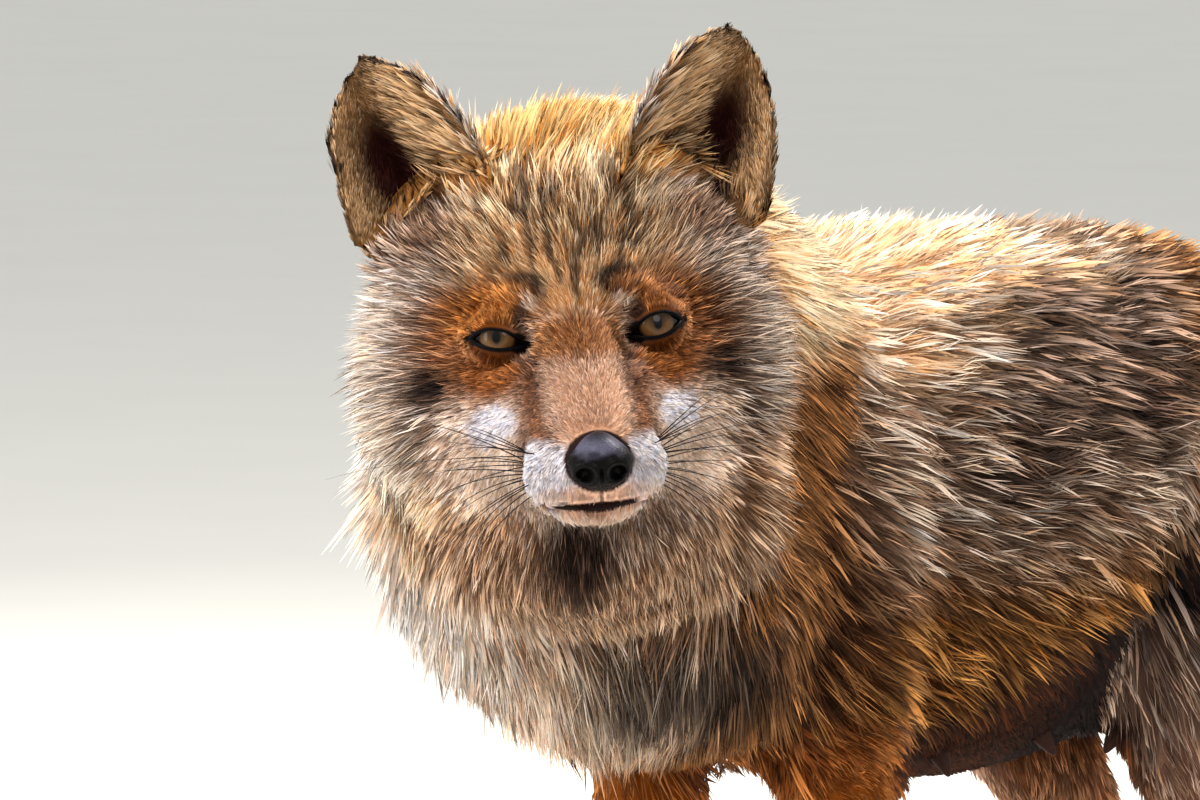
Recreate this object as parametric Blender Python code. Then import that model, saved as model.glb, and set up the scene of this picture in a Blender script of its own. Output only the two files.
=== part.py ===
"""A standing red fox, life size, with its head turned to its left.

The solids follow the outside of the coat. The fox is lofted as one body, its surface is evened out,
and thin cuts then part it into head, neck, trunk, tail, legs and paws. Ears, eyes and nose are fitted on.
Metres. The fox faces -Y, its left side is +X, and it stands on Z = 0.
"""

import math

import bmesh
import bpy
from mathutils import Matrix, Vector

MM = 0.001
GAP = 0.0004  # clearance between neighbouring pieces

# Driving dimensions of the animal.
WITHERS_HEIGHT = 0.397
BELLY_HEIGHT = 0.192
CHEST_HALF_WIDTH = 0.069
FORELEG_SPREAD = 0.037  # each leg's distance from the middle plane
HIND_LEG_SPREAD = 0.041
HIP_Y = 0.325  # behind the forelegs, which stand at Y = 0
LEFT_STEP = -0.028  # the left hind leg stands forward of the hip, the right one behind
RIGHT_STEP = 0.014

# The head: where its eyes are, and how it is turned.
EYE_MIDDLE = Vector((0.051, -0.190, 0.375))
HEAD_YAW = math.radians(33.5)
HEAD_PITCH = math.radians(9.0)
HEAD_ROLL = math.radians(-5.0)
EYE_SPACING = 25.0 * MM  # each eyeball's middle from the middle plane, and behind the origin
EYE_DEPTH = 3.5 * MM
EYE_RADIUS = 9.5 * MM

# Where thin cuts part the legs, and the box that holds one leg and not its neighbour.
FOREPAW_TOP = 0.046
ELBOW_HEIGHT = 0.198
HINDPAW_TOP = 0.044
SHANK_TOP = 0.160
KNEE_TOP = 0.190
LEG_BOX = (0.10, 0.20, 0.20)
LEG_BOX_OFFSET = 0.015  # keeps the box on its own side of the middle plane

# How finely the body's surface is made, evened out and thinned.
VOXEL = 0.0030
SKIN_SMOOTHING = 4  # rounds everywhere
COAT_SMOOTHING = 14  # more rounds where long fur hides the forms under it
COAT_BOTTOM = 0.150  # below this height the legs keep their shape
COAT_FRONT = 20.0 * MM  # the face in front of this, in the head's frame, keeps its shape
BODY_TRIANGLES = 3900

COLOURS = {
    "russet": (0.42, 0.17, 0.06, 1.0),
    "grey": (0.36, 0.27, 0.19, 1.0),
    "black": (0.02, 0.016, 0.014, 1.0),
    "cream": (0.72, 0.62, 0.50, 1.0),
    "amber": (0.38, 0.22, 0.05, 1.0),
}
FINISHES = {"black": 0.45, "amber": 0.08}

HEAD = (
    Matrix.Translation(EYE_MIDDLE)
    @ Matrix.Rotation(HEAD_YAW, 4, "Z")
    @ Matrix.Rotation(HEAD_PITCH, 4, "X")
    @ Matrix.Rotation(HEAD_ROLL, 4, "Y")
)


# ---------------------------------------------------------------- shared tools


def clear_scene():
    for obj in list(bpy.data.objects):
        bpy.data.objects.remove(obj)


def make_active(obj):
    for other in bpy.context.selected_objects:
        other.select_set(False)
    obj.select_set(True)
    bpy.context.view_layer.objects.active = obj


def apply_modifier(obj, kind, **settings):
    """Adds one modifier with these settings, and applies it."""
    modifier = obj.modifiers.new(kind.lower(), kind)
    for name, value in settings.items():
        setattr(modifier, name, value)
    make_active(obj)
    bpy.ops.object.modifier_apply(modifier=modifier.name)


def new_object(name, mesh):
    obj = bpy.data.objects.new(name, mesh)
    bpy.context.scene.collection.objects.link(obj)
    return obj


def mesh_object(name, work):
    """An object from a bmesh, with its normals facing out."""
    bmesh.ops.recalc_face_normals(work, faces=work.faces)
    mesh = bpy.data.meshes.new(name)
    work.to_mesh(mesh)
    work.free()
    return new_object(name, mesh)


def between(a, b, c, d, t):
    """The value a share t of the way from b to c, on a smooth curve through a, b, c and d."""
    slope = c - a
    bend = 2 * a - 5 * b + 4 * c - d
    twist = 3 * b - a - 3 * c + d
    return 0.5 * (2 * b + slope * t + bend * t**2 + twist * t**3)


def spline(rows, steps):
    """Rows of numbers joined by a smooth curve, with `steps` new rows in each gap."""
    ends = [rows[0], *rows, rows[-1]]
    made = []
    for four in zip(ends, ends[1:], ends[2:], ends[3:]):
        for step in range(steps):
            made.append(tuple(between(*values, step / steps) for values in zip(*four)))
    return [*made, tuple(rows[-1])]


def loft(name, rings):
    """One closed skin through rings of points, with flat ends."""
    work = bmesh.new()
    loops = [[work.verts.new(point) for point in ring] for ring in rings]
    sides = len(rings[0])
    for lower, upper in zip(loops, loops[1:]):
        for i in range(sides):
            j = (i + 1) % sides
            work.faces.new((lower[i], lower[j], upper[j], upper[i]))
    work.faces.new(loops[0])
    work.faces.new(loops[-1])
    return mesh_object(name, work)


def rounded(angle, roundness):
    """(across, up) on a unit ring: roundness 2 is an ellipse, less is pointed and more is boxy."""
    c, s = math.cos(angle), math.sin(angle)
    power = 2 / roundness
    return math.copysign(abs(c) ** power, c), math.copysign(abs(s) ** power, s)


def section_loft(name, rows, place=Matrix.Identity(4), sides=32, steps=3):
    """A body lofted along Y.

    Each row is y, top, bottom, the height where it is widest, its half width, and the roundness of its
    upper and lower half.
    """
    rings = []
    for y, top, bottom, widest, half_width, round_top, round_bottom in spline(rows, steps):
        ring = []
        for i in range(sides):
            angle = 2 * math.pi * i / sides
            upper = math.sin(angle) >= 0
            across, up = rounded(angle, round_top if upper else round_bottom)
            height = (top - widest) if upper else (widest - bottom)
            ring.append(place @ Vector((across * half_width, y, widest + up * height)))
        rings.append(ring)
    return loft(name, rings)


def tube(name, rows, sides=20, steps=3):
    """A limb along a bent path. Each row is x, y, z, its half width across X and its half depth."""
    path = spline(rows, steps)
    points = [Vector(row[:3]) for row in path]
    rings = []
    for i, row in enumerate(path):
        along = (points[min(i + 1, len(points) - 1)] - points[max(i - 1, 0)]).normalized()
        side = (Vector((1, 0, 0)) - along * along.x).normalized()
        depth = along.cross(side)
        rings.append(
            [
                points[i] + side * row[3] * math.cos(a) + depth * row[4] * math.sin(a)
                for a in (2 * math.pi * k / sides for k in range(sides))
            ]
        )
    return loft(name, rings)


def ellipsoid(name, centre, radii, place=Matrix.Identity(4), turn=Matrix.Identity(4), fineness=3):
    shape = place @ Matrix.Translation(Vector(centre)) @ turn @ Matrix.Diagonal((*radii, 1.0))
    work = bmesh.new()
    bmesh.ops.create_icosphere(work, subdivisions=fineness, radius=1.0, matrix=shape)
    return mesh_object(name, work)


def box_beyond(name, point, normal, size, lead=0.0):
    """A box that starts at a plane through `point` and lies on the side `normal` points to."""
    normal = Vector(normal).normalized()
    turn = normal.to_track_quat("Z", "Y").to_matrix().to_4x4()
    wide, tall, deep = size
    shape = (
        Matrix.Translation(Vector(point) + normal * (deep / 2 - lead))
        @ turn
        @ Matrix.Diagonal((wide, tall, deep, 1.0))
    )
    work = bmesh.new()
    bmesh.ops.create_cube(work, size=1.0, matrix=shape)
    return mesh_object(name, work)


def boolean(target, cutter, operation):
    apply_modifier(target, "BOOLEAN", object=cutter, operation=operation, solver="EXACT")


def boolean_and_remove(target, cutter, operation):
    boolean(target, cutter, operation)
    bpy.data.objects.remove(cutter)


def part_off(body, name, region, grown_region):
    """Splits off the stretch of `body` inside a region as a new piece, and leaves a thin gap."""
    piece = new_object(name, body.data.copy())
    boolean_and_remove(piece, region, "INTERSECT")
    boolean_and_remove(body, grown_region, "DIFFERENCE")
    return piece


def part_off_beyond(body, name, point, normal, size):
    """Splits off what lies beyond a plane, within a box of this size."""
    region = box_beyond("region", point, normal, size)
    grown = box_beyond("grown_region", point, normal, size, lead=GAP)
    return part_off(body, name, region, grown)


def join(objects, name):
    make_active(objects[0])
    for obj in objects[1:]:
        obj.select_set(True)
    bpy.ops.object.join()
    objects[0].name = name
    return objects[0]


def swollen_copy(obj, amount):
    """A copy with its surface moved out, to cut its neighbour with."""
    copy = new_object("swollen", obj.data.copy())
    apply_modifier(copy, "DISPLACE", strength=amount, mid_level=0.0)
    return copy


# ---------------------------------------------------------------- body forms


def trunk_forms():
    """Chest, belly and rump in one loft, with the shoulder and haunch muscles laid on."""
    top, low, wide = WITHERS_HEIGHT, BELLY_HEIGHT, CHEST_HALF_WIDTH
    rows = [
        (-0.128, top - 0.092, low + 0.072, 0.282, 0.026, 2.0, 2.0),
        (-0.108, top - 0.056, low + 0.036, 0.284, 0.048, 2.0, 2.0),
        (-0.070, top - 0.028, low + 0.018, 0.288, 0.061, 2.0, 2.0),
        (-0.020, top - 0.005, low + 0.019, 0.290, wide - 0.002, 2.1, 2.1),
        (0.050, top, low + 0.011, 0.290, wide, 2.1, 2.2),
        (0.115, top - 0.002, low, 0.288, wide + 0.002, 2.1, 2.1),
        (0.180, top - 0.006, low - 0.003, 0.290, wide + 0.001, 2.1, 1.9),
        (0.245, top - 0.011, low + 0.002, 0.294, wide - 0.003, 2.1, 1.8),
        (HIP_Y - 0.020, top - 0.018, low + 0.028, 0.300, wide - 0.007, 2.1, 1.8),
        (HIP_Y + 0.030, top - 0.032, low + 0.062, 0.305, wide - 0.013, 2.0, 2.0),
        (HIP_Y + 0.066, top - 0.050, low + 0.082, 0.308, wide - 0.026, 2.0, 2.0),
        (HIP_Y + 0.088, top - 0.068, low + 0.100, 0.308, 0.022, 2.0, 2.0),
    ]
    forms = [section_loft("trunk", rows)]
    for side in (-1, 1):
        forms.append(
            ellipsoid(
                "shoulder",
                (side * 0.041, 0.002, 0.288),
                (0.031, 0.052, 0.078),
                turn=Matrix.Rotation(math.radians(-14), 4, "X"),
            )
        )
        forms.append(ellipsoid("haunch", (side * 0.038, HIP_Y - 0.012, 0.298), (0.031, 0.070, 0.062)))
    return forms


def neck_form():
    """The neck rises from the shoulders to the back of the skull, and carries the ruff."""
    rows = [
        (0.000, 0.040, 0.308, 0.058, 0.072),
        (0.000, -0.010, 0.326, 0.064, 0.074),
        (0.001, -0.052, 0.350, 0.066, 0.074),
        (0.003, -0.086, 0.373, 0.066, 0.074),
        (0.008, -0.112, 0.385, 0.064, 0.069),
        (0.016, -0.134, 0.384, 0.056, 0.058),
    ]
    return tube("neck", rows, sides=28)


def ruff_forms():
    """The long fur of the throat, under the jaw and in front of the chest."""
    lean = Matrix.Rotation(math.radians(16), 4, "X")
    return [
        ellipsoid("chest_ruff", (-0.003, -0.098, 0.300), (0.077, 0.052, 0.070), turn=lean),
        ellipsoid("collar_ruff", (0.010, -0.120, 0.320), (0.080, 0.057, 0.056), turn=lean),
        ellipsoid("throat_ruff", (0.027, -0.148, 0.325), (0.061, 0.050, 0.047), turn=lean),
    ]


def foreleg(side):
    x = side * FORELEG_SPREAD
    rows = [
        (side * 0.043, 0.004, 0.290, 0.026, 0.046),
        (side * 0.041, 0.012, 0.245, 0.026, 0.036),
        (side * 0.039, 0.014, 0.210, 0.023, 0.028),
        (x, 0.009, 0.170, 0.0185, 0.0215),
        (x, 0.003, 0.120, 0.0145, 0.0160),
        (x, -0.001, 0.080, 0.0145, 0.0150),
        (x, -0.004, 0.050, 0.0140, 0.0140),
        (x, -0.012, 0.018, 0.0150, 0.0130),
    ]
    return tube("foreleg", rows)


def hind_leg(side, step):
    """Thigh, shank and the long hind foot. `step` carries the foot and knee forward or back from the hip."""
    x = side * HIND_LEG_SPREAD
    y = HIP_Y + step
    rows = [
        (side * 0.036, HIP_Y, 0.325, 0.026, 0.056),
        (side * 0.042, HIP_Y - 0.012 + 0.2 * step, 0.290, 0.030, 0.066),
        (side * 0.046, HIP_Y - 0.030 + 0.5 * step, 0.250, 0.029, 0.057),
        (side * 0.047, HIP_Y - 0.040 + 0.9 * step, 0.212, 0.026, 0.040),
        (side * 0.045, y - 0.014, 0.175, 0.021, 0.027),
        (side * 0.042, y + 0.020, 0.143, 0.0165, 0.0195),
        (x, y + 0.044, 0.112, 0.0135, 0.0175),
        (x, y + 0.038, 0.080, 0.0125, 0.0145),
        (x, y + 0.028, 0.048, 0.0130, 0.0135),
        (x, y + 0.016, 0.018, 0.0140, 0.0130),
    ]
    return tube("hind_leg", rows)


def paw_spots():
    """x, y and size of each paw: two forepaws and two hind ones."""
    spots = []
    for side, step in ((1, LEFT_STEP), (-1, RIGHT_STEP)):
        spots.append((side * FORELEG_SPREAD, -0.024, 1.0))
        spots.append((side * HIND_LEG_SPREAD, HIP_Y + step + 0.006, 0.93))
    return spots


def toe_spots(x, y, scale):
    """The middles of a paw's four toes, the two inner ones further forward."""
    outer, inner = (0.0125, 0.0110), (0.0043, 0.0165)
    across_and_forward = [(-outer[0], outer[1]), (-inner[0], inner[1]), inner, outer]
    return [(x + across * scale, y - forward * scale) for across, forward in across_and_forward]


def paw(x, y, scale):
    """The foot's ball and four toes. They reach just under the floor, and are cut flat there later."""
    ball = ellipsoid("paw_ball", (x, y + 0.008, 0.0105), (0.0165 * scale, 0.0190 * scale, 0.0140))
    toes = []
    for spot in toe_spots(x, y, scale):
        toes.append(ellipsoid("toe", (*spot, 0.0085), (0.0062 * scale, 0.0125 * scale, 0.0105)))
    return [ball, *toes]


def claws():
    """One short bent claw on each toe. Its tip stays off the floor."""
    made = []
    for x, y, scale in paw_spots():
        for toe_x, toe_y in toe_spots(x, y, scale):
            rows = [
                (toe_x, toe_y - 0.0070, 0.0090, 0.0017, 0.0021),
                (toe_x, toe_y - 0.0150, 0.0074, 0.0012, 0.0015),
                (toe_x, toe_y - 0.0185, 0.0046, 0.0003, 0.0004),
            ]
            made.append(tube("claw", rows, sides=5, steps=1))
    return made


def tail_form():
    """The brush hangs down and back from the rump, thickest past its middle, and ends in a point."""
    root = HIP_Y + 0.060
    rows = [
        (0.000, root, 0.330, 0.022, 0.024),
        (0.000, root + 0.034, 0.312, 0.024, 0.025),
        (0.002, root + 0.066, 0.276, 0.030, 0.031),
        (0.004, root + 0.094, 0.226, 0.038, 0.039),
        (0.006, root + 0.118, 0.170, 0.043, 0.044),
        (0.008, root + 0.142, 0.118, 0.041, 0.042),
        (0.010, root + 0.170, 0.074, 0.031, 0.031),
        (0.011, root + 0.196, 0.046, 0.016, 0.016),
        (0.012, root + 0.212, 0.032, 0.004, 0.004),
    ]
    return tube("tail", rows, sides=24)


# ---------------------------------------------------------------- head forms, in the head's own frame


def head_forms():
    """The skull and muzzle with their coat, in millimetres.

    Local -Y is forward, and the origin is midway between the eyes.
    """
    rows = [
        (-76, -17, -42, -30, 12, 2.0, 2.0),
        (-72, -14, -45, -31, 17.5, 2.0, 2.0),
        (-62, -9.5, -49, -31, 22.5, 1.9, 2.2),
        (-50, -6.0, -51, -31, 23.0, 1.8, 2.2),
        (-36, -1.0, -54, -30, 23.5, 1.75, 2.1),
        (-24, 4.5, -57, -29, 27.0, 1.5, 2.0),
        (-12, 11.0, -60, -28, 34.0, 1.3, 2.0),
        (0, 20.0, -64, -28, 44.0, 1.25, 2.0),
        (10, 27.0, -67, -29, 53.0, 1.45, 2.0),
        (22, 35.0, -70, -30, 64.0, 1.9, 2.1),
        (36, 42.0, -73, -31, 72.0, 2.2, 2.2),
        (52, 46.0, -74, -30, 75.0, 2.3, 2.2),
        (68, 47.0, -72, -26, 71.0, 2.2, 2.1),
        (84, 42.0, -64, -18, 58.0, 2.0, 2.0),
        (98, 32.0, -50, -10, 44.0, 2.0, 2.0),
    ]
    in_metres = [tuple(v * MM for v in row[:5]) + row[5:] for row in rows]
    forms = [section_loft("skull", in_metres, HEAD, sides=40)]
    for side in (-1, 1):
        for name, centre, radii in (
            ("whisker_pad", (11.5, -62, -30), (12.5, 13, 12)),
            ("orbit", (27.5, 7, 0), (13.5, 11.5, 12)),
            ("brow", (20, 4, 11), (11, 9.5, 6.5)),
            ("ear_root", (38, 48, 20), (21, 17, 18)),
        ):
            spot = (side * centre[0] * MM, centre[1] * MM, centre[2] * MM)
            forms.append(ellipsoid(name, spot, tuple(r * MM for r in radii), HEAD))
    return forms


def ear(name, side):
    """A cupped ear: crescent sections that narrow to a round tip, and lean out and back."""
    base = Vector((side * 42.0, 45.0, 25.0)) * MM
    along = Vector((side * 0.30, 0.22, 0.93)).normalized()
    across = Vector((side * 0.86, 0.18, -0.36))
    across = (across - along * across.dot(along)).normalized()
    opening = across.cross(along) * side
    height, base_half_width = 67.0 * MM, 29.0 * MM
    rows, columns = 11, 8
    rings = []
    for i in range(rows):
        v = -0.20 + 1.20 * i / (rows - 1)
        spread = max(1 - max(v, 0.0) ** 2.6, 0.0) ** 0.66
        half_width = max(base_half_width * spread * (1 + min(v, 0.0)), 2.2 * MM)
        half_angle = math.radians(84 - 46 * max(v, 0.0))
        radius = half_width / math.sin(half_angle)
        thickness = min((4.6 - 1.8 * max(v, 0.0)) * MM, 0.7 * radius)
        middle = base + along * (v * height) + opening * (radius * math.cos(half_angle))
        angles = [half_angle * (2 * k / (columns - 1) - 1) for k in range(columns)]
        outer = [middle + across * radius * math.sin(a) - opening * radius * math.cos(a) for a in angles]
        inner_radius = radius - thickness
        inner = [
            middle + across * inner_radius * math.sin(a) - opening * inner_radius * math.cos(a)
            for a in reversed(angles)
        ]
        rings.append([HEAD @ point for point in (*outer, *inner)])
    return loft(name, rings)


def nose_pad():
    """The bare nose: a rounded pad, wider above, with two nostrils pressed in."""
    nose = ellipsoid("nose", (0, -74.5 * MM, -24.5 * MM), (11.0 * MM, 9.0 * MM, 9.6 * MM), HEAD, fineness=2)
    for side in (-1, 1):
        nostril = ellipsoid(
            "nostril",
            (side * 5.2 * MM, -83.0 * MM, -26.5 * MM),
            (2.3 * MM, 3.6 * MM, 2.6 * MM),
            HEAD,
            fineness=1,
        )
        boolean_and_remove(nose, nostril, "DIFFERENCE")
    return nose


def eye(name, side, radius):
    centre = (side * EYE_SPACING, EYE_DEPTH, 0.0)
    return ellipsoid(name, centre, (radius,) * 3, HEAD, fineness=2)


def lid_opening(side):
    """What is cut away between the lids: an almond that slants up and out, across the front of the eye."""
    slant = Matrix.Rotation(side * math.radians(-10), 4, "Y")
    slope = Matrix.Rotation(side * math.radians(28), 4, "Z")
    centre = (side * (EYE_SPACING + 1.0 * MM), EYE_DEPTH - EYE_RADIUS, 0.0)
    return ellipsoid("lid_opening", centre, (10.2 * MM, 8.0 * MM, 4.7 * MM), HEAD, slope @ slant, fineness=2)


# ---------------------------------------------------------------- assembly


def long_coat_group(body):
    """The vertices where the fur is long: all but the face, the lower legs and the paws."""
    to_head = HEAD.inverted()
    long_fur = [
        vertex.index
        for vertex in body.data.vertices
        if vertex.co.z > COAT_BOTTOM and (to_head @ vertex.co).y > COAT_FRONT
    ]
    group = body.vertex_groups.new(name="long_coat")
    group.add(long_fur, 1.0, "REPLACE")
    return group


def whole_body():
    """Every form made one closed surface, evened out, thinned and cut flat at the floor."""
    forms = [*trunk_forms(), neck_form(), *ruff_forms(), tail_form(), *head_forms()]
    for side, step in ((1, LEFT_STEP), (-1, RIGHT_STEP)):
        forms += [foreleg(side), hind_leg(side, step)]
    for spot in paw_spots():
        forms += paw(*spot)
    body = join(forms, "trunk")
    apply_modifier(body, "REMESH", mode="VOXEL", voxel_size=VOXEL)
    coat = long_coat_group(body)
    apply_modifier(body, "SMOOTH", factor=0.5, iterations=COAT_SMOOTHING, vertex_group=coat.name)
    apply_modifier(body, "SMOOTH", factor=0.5, iterations=SKIN_SMOOTHING)
    triangles = sum(len(face.vertices) - 2 for face in body.data.polygons)
    apply_modifier(body, "DECIMATE", ratio=BODY_TRIANGLES / triangles)
    boolean_and_remove(body, join(claws(), "claws"), "UNION")
    floor = box_beyond("under_floor", (0.0, 0.2, 0.0), (0, 0, -1), (2.0, 2.0, 0.1))
    boolean_and_remove(body, floor, "DIFFERENCE")
    return body


def thigh_region(side, step, lead):
    """The oval of the thigh with the knee below it, made larger all round by `lead`."""
    middle = Vector((side * 0.074, HIP_Y - 0.030 + 0.5 * step, 0.230))
    oval = ellipsoid("thigh_region", middle, (0.060 + lead, 0.088 + lead, 0.100 + lead))
    knee = (side * (HIND_LEG_SPREAD + LEG_BOX_OFFSET), middle.y + 0.010, KNEE_TOP)
    boolean_and_remove(oval, box_beyond("knee", knee, (0, 0, -1), LEG_BOX, lead), "UNION")
    return oval


def part_legs(body):
    """Paws, lower legs and thighs, from the floor up."""
    pieces = []
    for side, word, step in ((1, "left", LEFT_STEP), (-1, "right", RIGHT_STEP)):
        fore = (side * (FORELEG_SPREAD + LEG_BOX_OFFSET), 0.0)
        hind = (side * (HIND_LEG_SPREAD + LEG_BOX_OFFSET), HIP_Y + step + 0.010)
        for name, spot, top, colour in (
            ("forepaw", fore, FOREPAW_TOP, "black"),
            ("foreleg", fore, ELBOW_HEIGHT, "russet"),
            ("hindpaw", hind, HINDPAW_TOP, "black"),
            ("hindleg", hind, SHANK_TOP, "russet"),
        ):
            piece = part_off_beyond(body, f"{name}_{word}", (*spot, top), (0, 0, -1), LEG_BOX)
            pieces.append((piece, colour))
        region = thigh_region(side, step, 0.0)
        pieces.append((part_off(body, f"thigh_{word}", region, thigh_region(side, step, GAP)), "grey"))
    return pieces


def part_tail(body):
    """Tip, brush and root, cut square to the tail's run, from the tip up."""
    pieces = []
    for name, point, normal, size, colour in (
        ("tail_tip", (0.009, HIP_Y + 0.212, 0.095), (0, 0.50, -0.86), (0.16, 0.16, 0.16), "cream"),
        ("tail_brush", (0.004, HIP_Y + 0.142, 0.250), (0, 0.44, -0.90), (0.14, 0.14, 0.40), "russet"),
        ("tail_root", (0.000, HIP_Y + 0.086, 0.315), (0, 0.86, -0.50), (0.12, 0.12, 0.30), "russet"),
    ):
        pieces.append((part_off_beyond(body, name, point, normal, size), colour))
    return pieces


def part_head_and_neck(body):
    forward = Vector((0.30, -0.92, 0.22))
    head = part_off_beyond(body, "head", (0.004, -0.118, 0.385), forward, (0.30, 0.24, 0.30))
    neck = part_off_beyond(body, "neck", (0.0, -0.042, 0.335), (0, -0.87, 0.50), (0.30, 0.40, 0.30))
    return head, neck


def fit_face(head):
    """Sockets for the eyes, a seat for the nose, and the ears cut to the head they stand on."""
    pieces = []
    for side, word in ((1, "left"), (-1, "right")):
        for cutter in (lid_opening(side), eye("socket", side, EYE_RADIUS + GAP)):
            boolean_and_remove(head, cutter, "DIFFERENCE")
        pieces.append((eye(f"eye_{word}", side, EYE_RADIUS), "amber"))
    nose = nose_pad()
    boolean_and_remove(head, swollen_copy(nose, GAP), "DIFFERENCE")
    pieces.append((nose, "black"))
    swollen_head = swollen_copy(head, GAP)
    for side, word in ((1, "left"), (-1, "right")):
        piece = ear(f"ear_{word}", side)
        boolean(piece, swollen_head, "DIFFERENCE")
        pieces.append((piece, "grey"))
    bpy.data.objects.remove(swollen_head)
    return pieces


def keep_largest_body(obj):
    """Drops the crumbs that a cut leaves beside a piece."""
    work = bmesh.new()
    work.from_mesh(obj.data)
    islands, left = [], set(work.verts)
    while left:
        island, front = set(), [left.pop()]
        while front:
            vert = front.pop()
            island.add(vert)
            near = {edge.other_vert(vert) for edge in vert.link_edges} & left
            left -= near
            front += near
        islands.append(island)
    islands.sort(key=len)
    crumbs = [vert for island in islands[:-1] for vert in island]
    bmesh.ops.delete(work, geom=crumbs, context="VERTS")
    work.to_mesh(obj.data)
    work.free()


def paint(obj, colour):
    material = bpy.data.materials.new(f"{obj.name}_{colour}")
    material.use_nodes = True
    shader = material.node_tree.nodes["Principled BSDF"]
    shader.inputs["Base Color"].default_value = COLOURS[colour]
    shader.inputs["Roughness"].default_value = FINISHES.get(colour, 0.85)
    shader.inputs["Metallic"].default_value = 0.0
    obj.data.materials.clear()
    obj.data.materials.append(material)


def centre_on_floor(objects):
    """Moves the fox so that the middle of its bounding box, seen from above, is the origin."""
    corners = [vertex.co for obj in objects for vertex in obj.data.vertices]
    middle = [(min(c[k] for c in corners) + max(c[k] for c in corners)) / 2 for k in (0, 1)]
    for obj in objects:
        obj.data.transform(Matrix.Translation((-middle[0], -middle[1], 0.0)))


def main():
    clear_scene()
    body = whole_body()
    pieces = part_legs(body) + part_tail(body)
    head, neck = part_head_and_neck(body)
    pieces += fit_face(head)
    pieces += [(head, "russet"), (neck, "russet"), (body, "russet")]
    for obj, colour in pieces:
        keep_largest_body(obj)
        paint(obj, colour)
    centre_on_floor([obj for obj, _ in pieces])


main()
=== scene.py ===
"""The looks of a standing red fox, life size, with its head turned to its left.

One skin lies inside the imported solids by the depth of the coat. Eyes, lids, nose, claws, teats and
whiskers are pieces of their own, and the coat is thin closed locks of fur that follow its lie.
Metres. The fox faces -Y, its left side is +X, and it stands on Z = 0.
"""

import math

import bmesh
import bpy
import numpy as np
from mathutils import Matrix, Vector
from mathutils.bvhtree import BVHTree


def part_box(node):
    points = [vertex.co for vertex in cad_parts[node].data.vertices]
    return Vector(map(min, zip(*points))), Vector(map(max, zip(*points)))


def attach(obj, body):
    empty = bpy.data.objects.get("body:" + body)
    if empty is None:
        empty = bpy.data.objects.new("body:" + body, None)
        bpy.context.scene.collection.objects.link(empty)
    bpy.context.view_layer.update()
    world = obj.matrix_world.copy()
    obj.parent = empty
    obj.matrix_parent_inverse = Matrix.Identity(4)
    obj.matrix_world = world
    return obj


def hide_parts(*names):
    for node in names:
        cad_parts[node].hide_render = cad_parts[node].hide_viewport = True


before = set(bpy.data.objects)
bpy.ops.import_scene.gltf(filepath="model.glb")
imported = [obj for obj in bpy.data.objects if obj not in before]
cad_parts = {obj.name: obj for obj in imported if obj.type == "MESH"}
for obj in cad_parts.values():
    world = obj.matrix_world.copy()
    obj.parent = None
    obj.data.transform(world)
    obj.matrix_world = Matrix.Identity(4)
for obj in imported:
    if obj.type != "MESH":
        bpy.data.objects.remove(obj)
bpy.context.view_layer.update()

MM = 0.001
SWELL = 0.8  # millimetres that make neighbouring solids overlap before they become one skin
SKIN_VOXEL = 3.6  # millimetres between the points of the skin's first, even mesh
FLESH = (
    "head neck trunk thigh_left thigh_right foreleg_left foreleg_right forepaw_left forepaw_right "
    "hindleg_left hindleg_right hindpaw_left hindpaw_right tail_root tail_brush tail_tip ear_left ear_right"
).split()

# The head's own frame: the origin is midway between the eyes, -Y is forward, millimetres.
EYE_RADIUS = 9.5
EYE_SPACING = 25.0
EYE_BACK = 3.5
IRIS_RADIUS = 7.4
EYE_BULGE = 0.75  # how far the clear front stands off the ball
HEAD_TURN = (
    Matrix.Rotation(math.radians(33.5), 3, "Z")
    @ Matrix.Rotation(math.radians(9.0), 3, "X")
    @ Matrix.Rotation(math.radians(-5.0), 3, "Y")
)


def middle_of(node):
    low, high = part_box(node)
    return (low + high) / 2


EYE_MIDDLE = (middle_of("eye_left") + middle_of("eye_right")) / 2 - HEAD_TURN @ Vector((0, EYE_BACK * MM, 0))
FOREFEET = Vector((EYE_MIDDLE.x - 0.051, EYE_MIDDLE.y + 0.190, 0.0))  # the floor between the forefeet
TURN = np.array(HEAD_TURN)
ORIGIN = np.array(EYE_MIDDLE)
FEET = np.array(FOREFEET)


def in_head(points):
    """Points in the head's frame, in millimetres."""
    return (points - ORIGIN) @ TURN / MM


def from_head(points):
    return np.asarray(points, float) * MM @ TURN.T + ORIGIN


def in_body(points):
    """Millimetres from the floor between the forefeet: left, back and up."""
    return (points - FEET) / MM


# ---------------------------------------------------------------- plain tools


def make_active(obj):
    for other in bpy.context.selected_objects:
        other.select_set(False)
    obj.select_set(True)
    bpy.context.view_layer.objects.active = obj


def apply_modifier(obj, kind, **settings):
    """Adds one modifier with these settings, and applies it."""
    modifier = obj.modifiers.new(kind.lower(), kind)
    for name, value in settings.items():
        setattr(modifier, name, value)
    make_active(obj)
    bpy.ops.object.modifier_apply(modifier=modifier.name)


def new_object(name, mesh):
    obj = bpy.data.objects.new(name, mesh)
    bpy.context.scene.collection.objects.link(obj)
    return obj


def read(items, field, width, kind=np.float32):
    """One field of a mesh's vertices, edges or triangles, as rows of numbers."""
    values = np.empty(len(items) * width, kind)
    items.foreach_get(field, values)
    return values.reshape(-1, width)


def points_of(obj):
    return read(obj.data.vertices, "co", 3, float)


def move_points(obj, points):
    obj.data.vertices.foreach_set("co", np.ascontiguousarray(points, np.float32).ravel())
    obj.data.update()


def normals_of(obj):
    return read(obj.data.vertex_normals, "vector", 3).astype(float)


def edges_of(obj):
    return read(obj.data.edges, "vertices", 2, np.int32)


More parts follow.
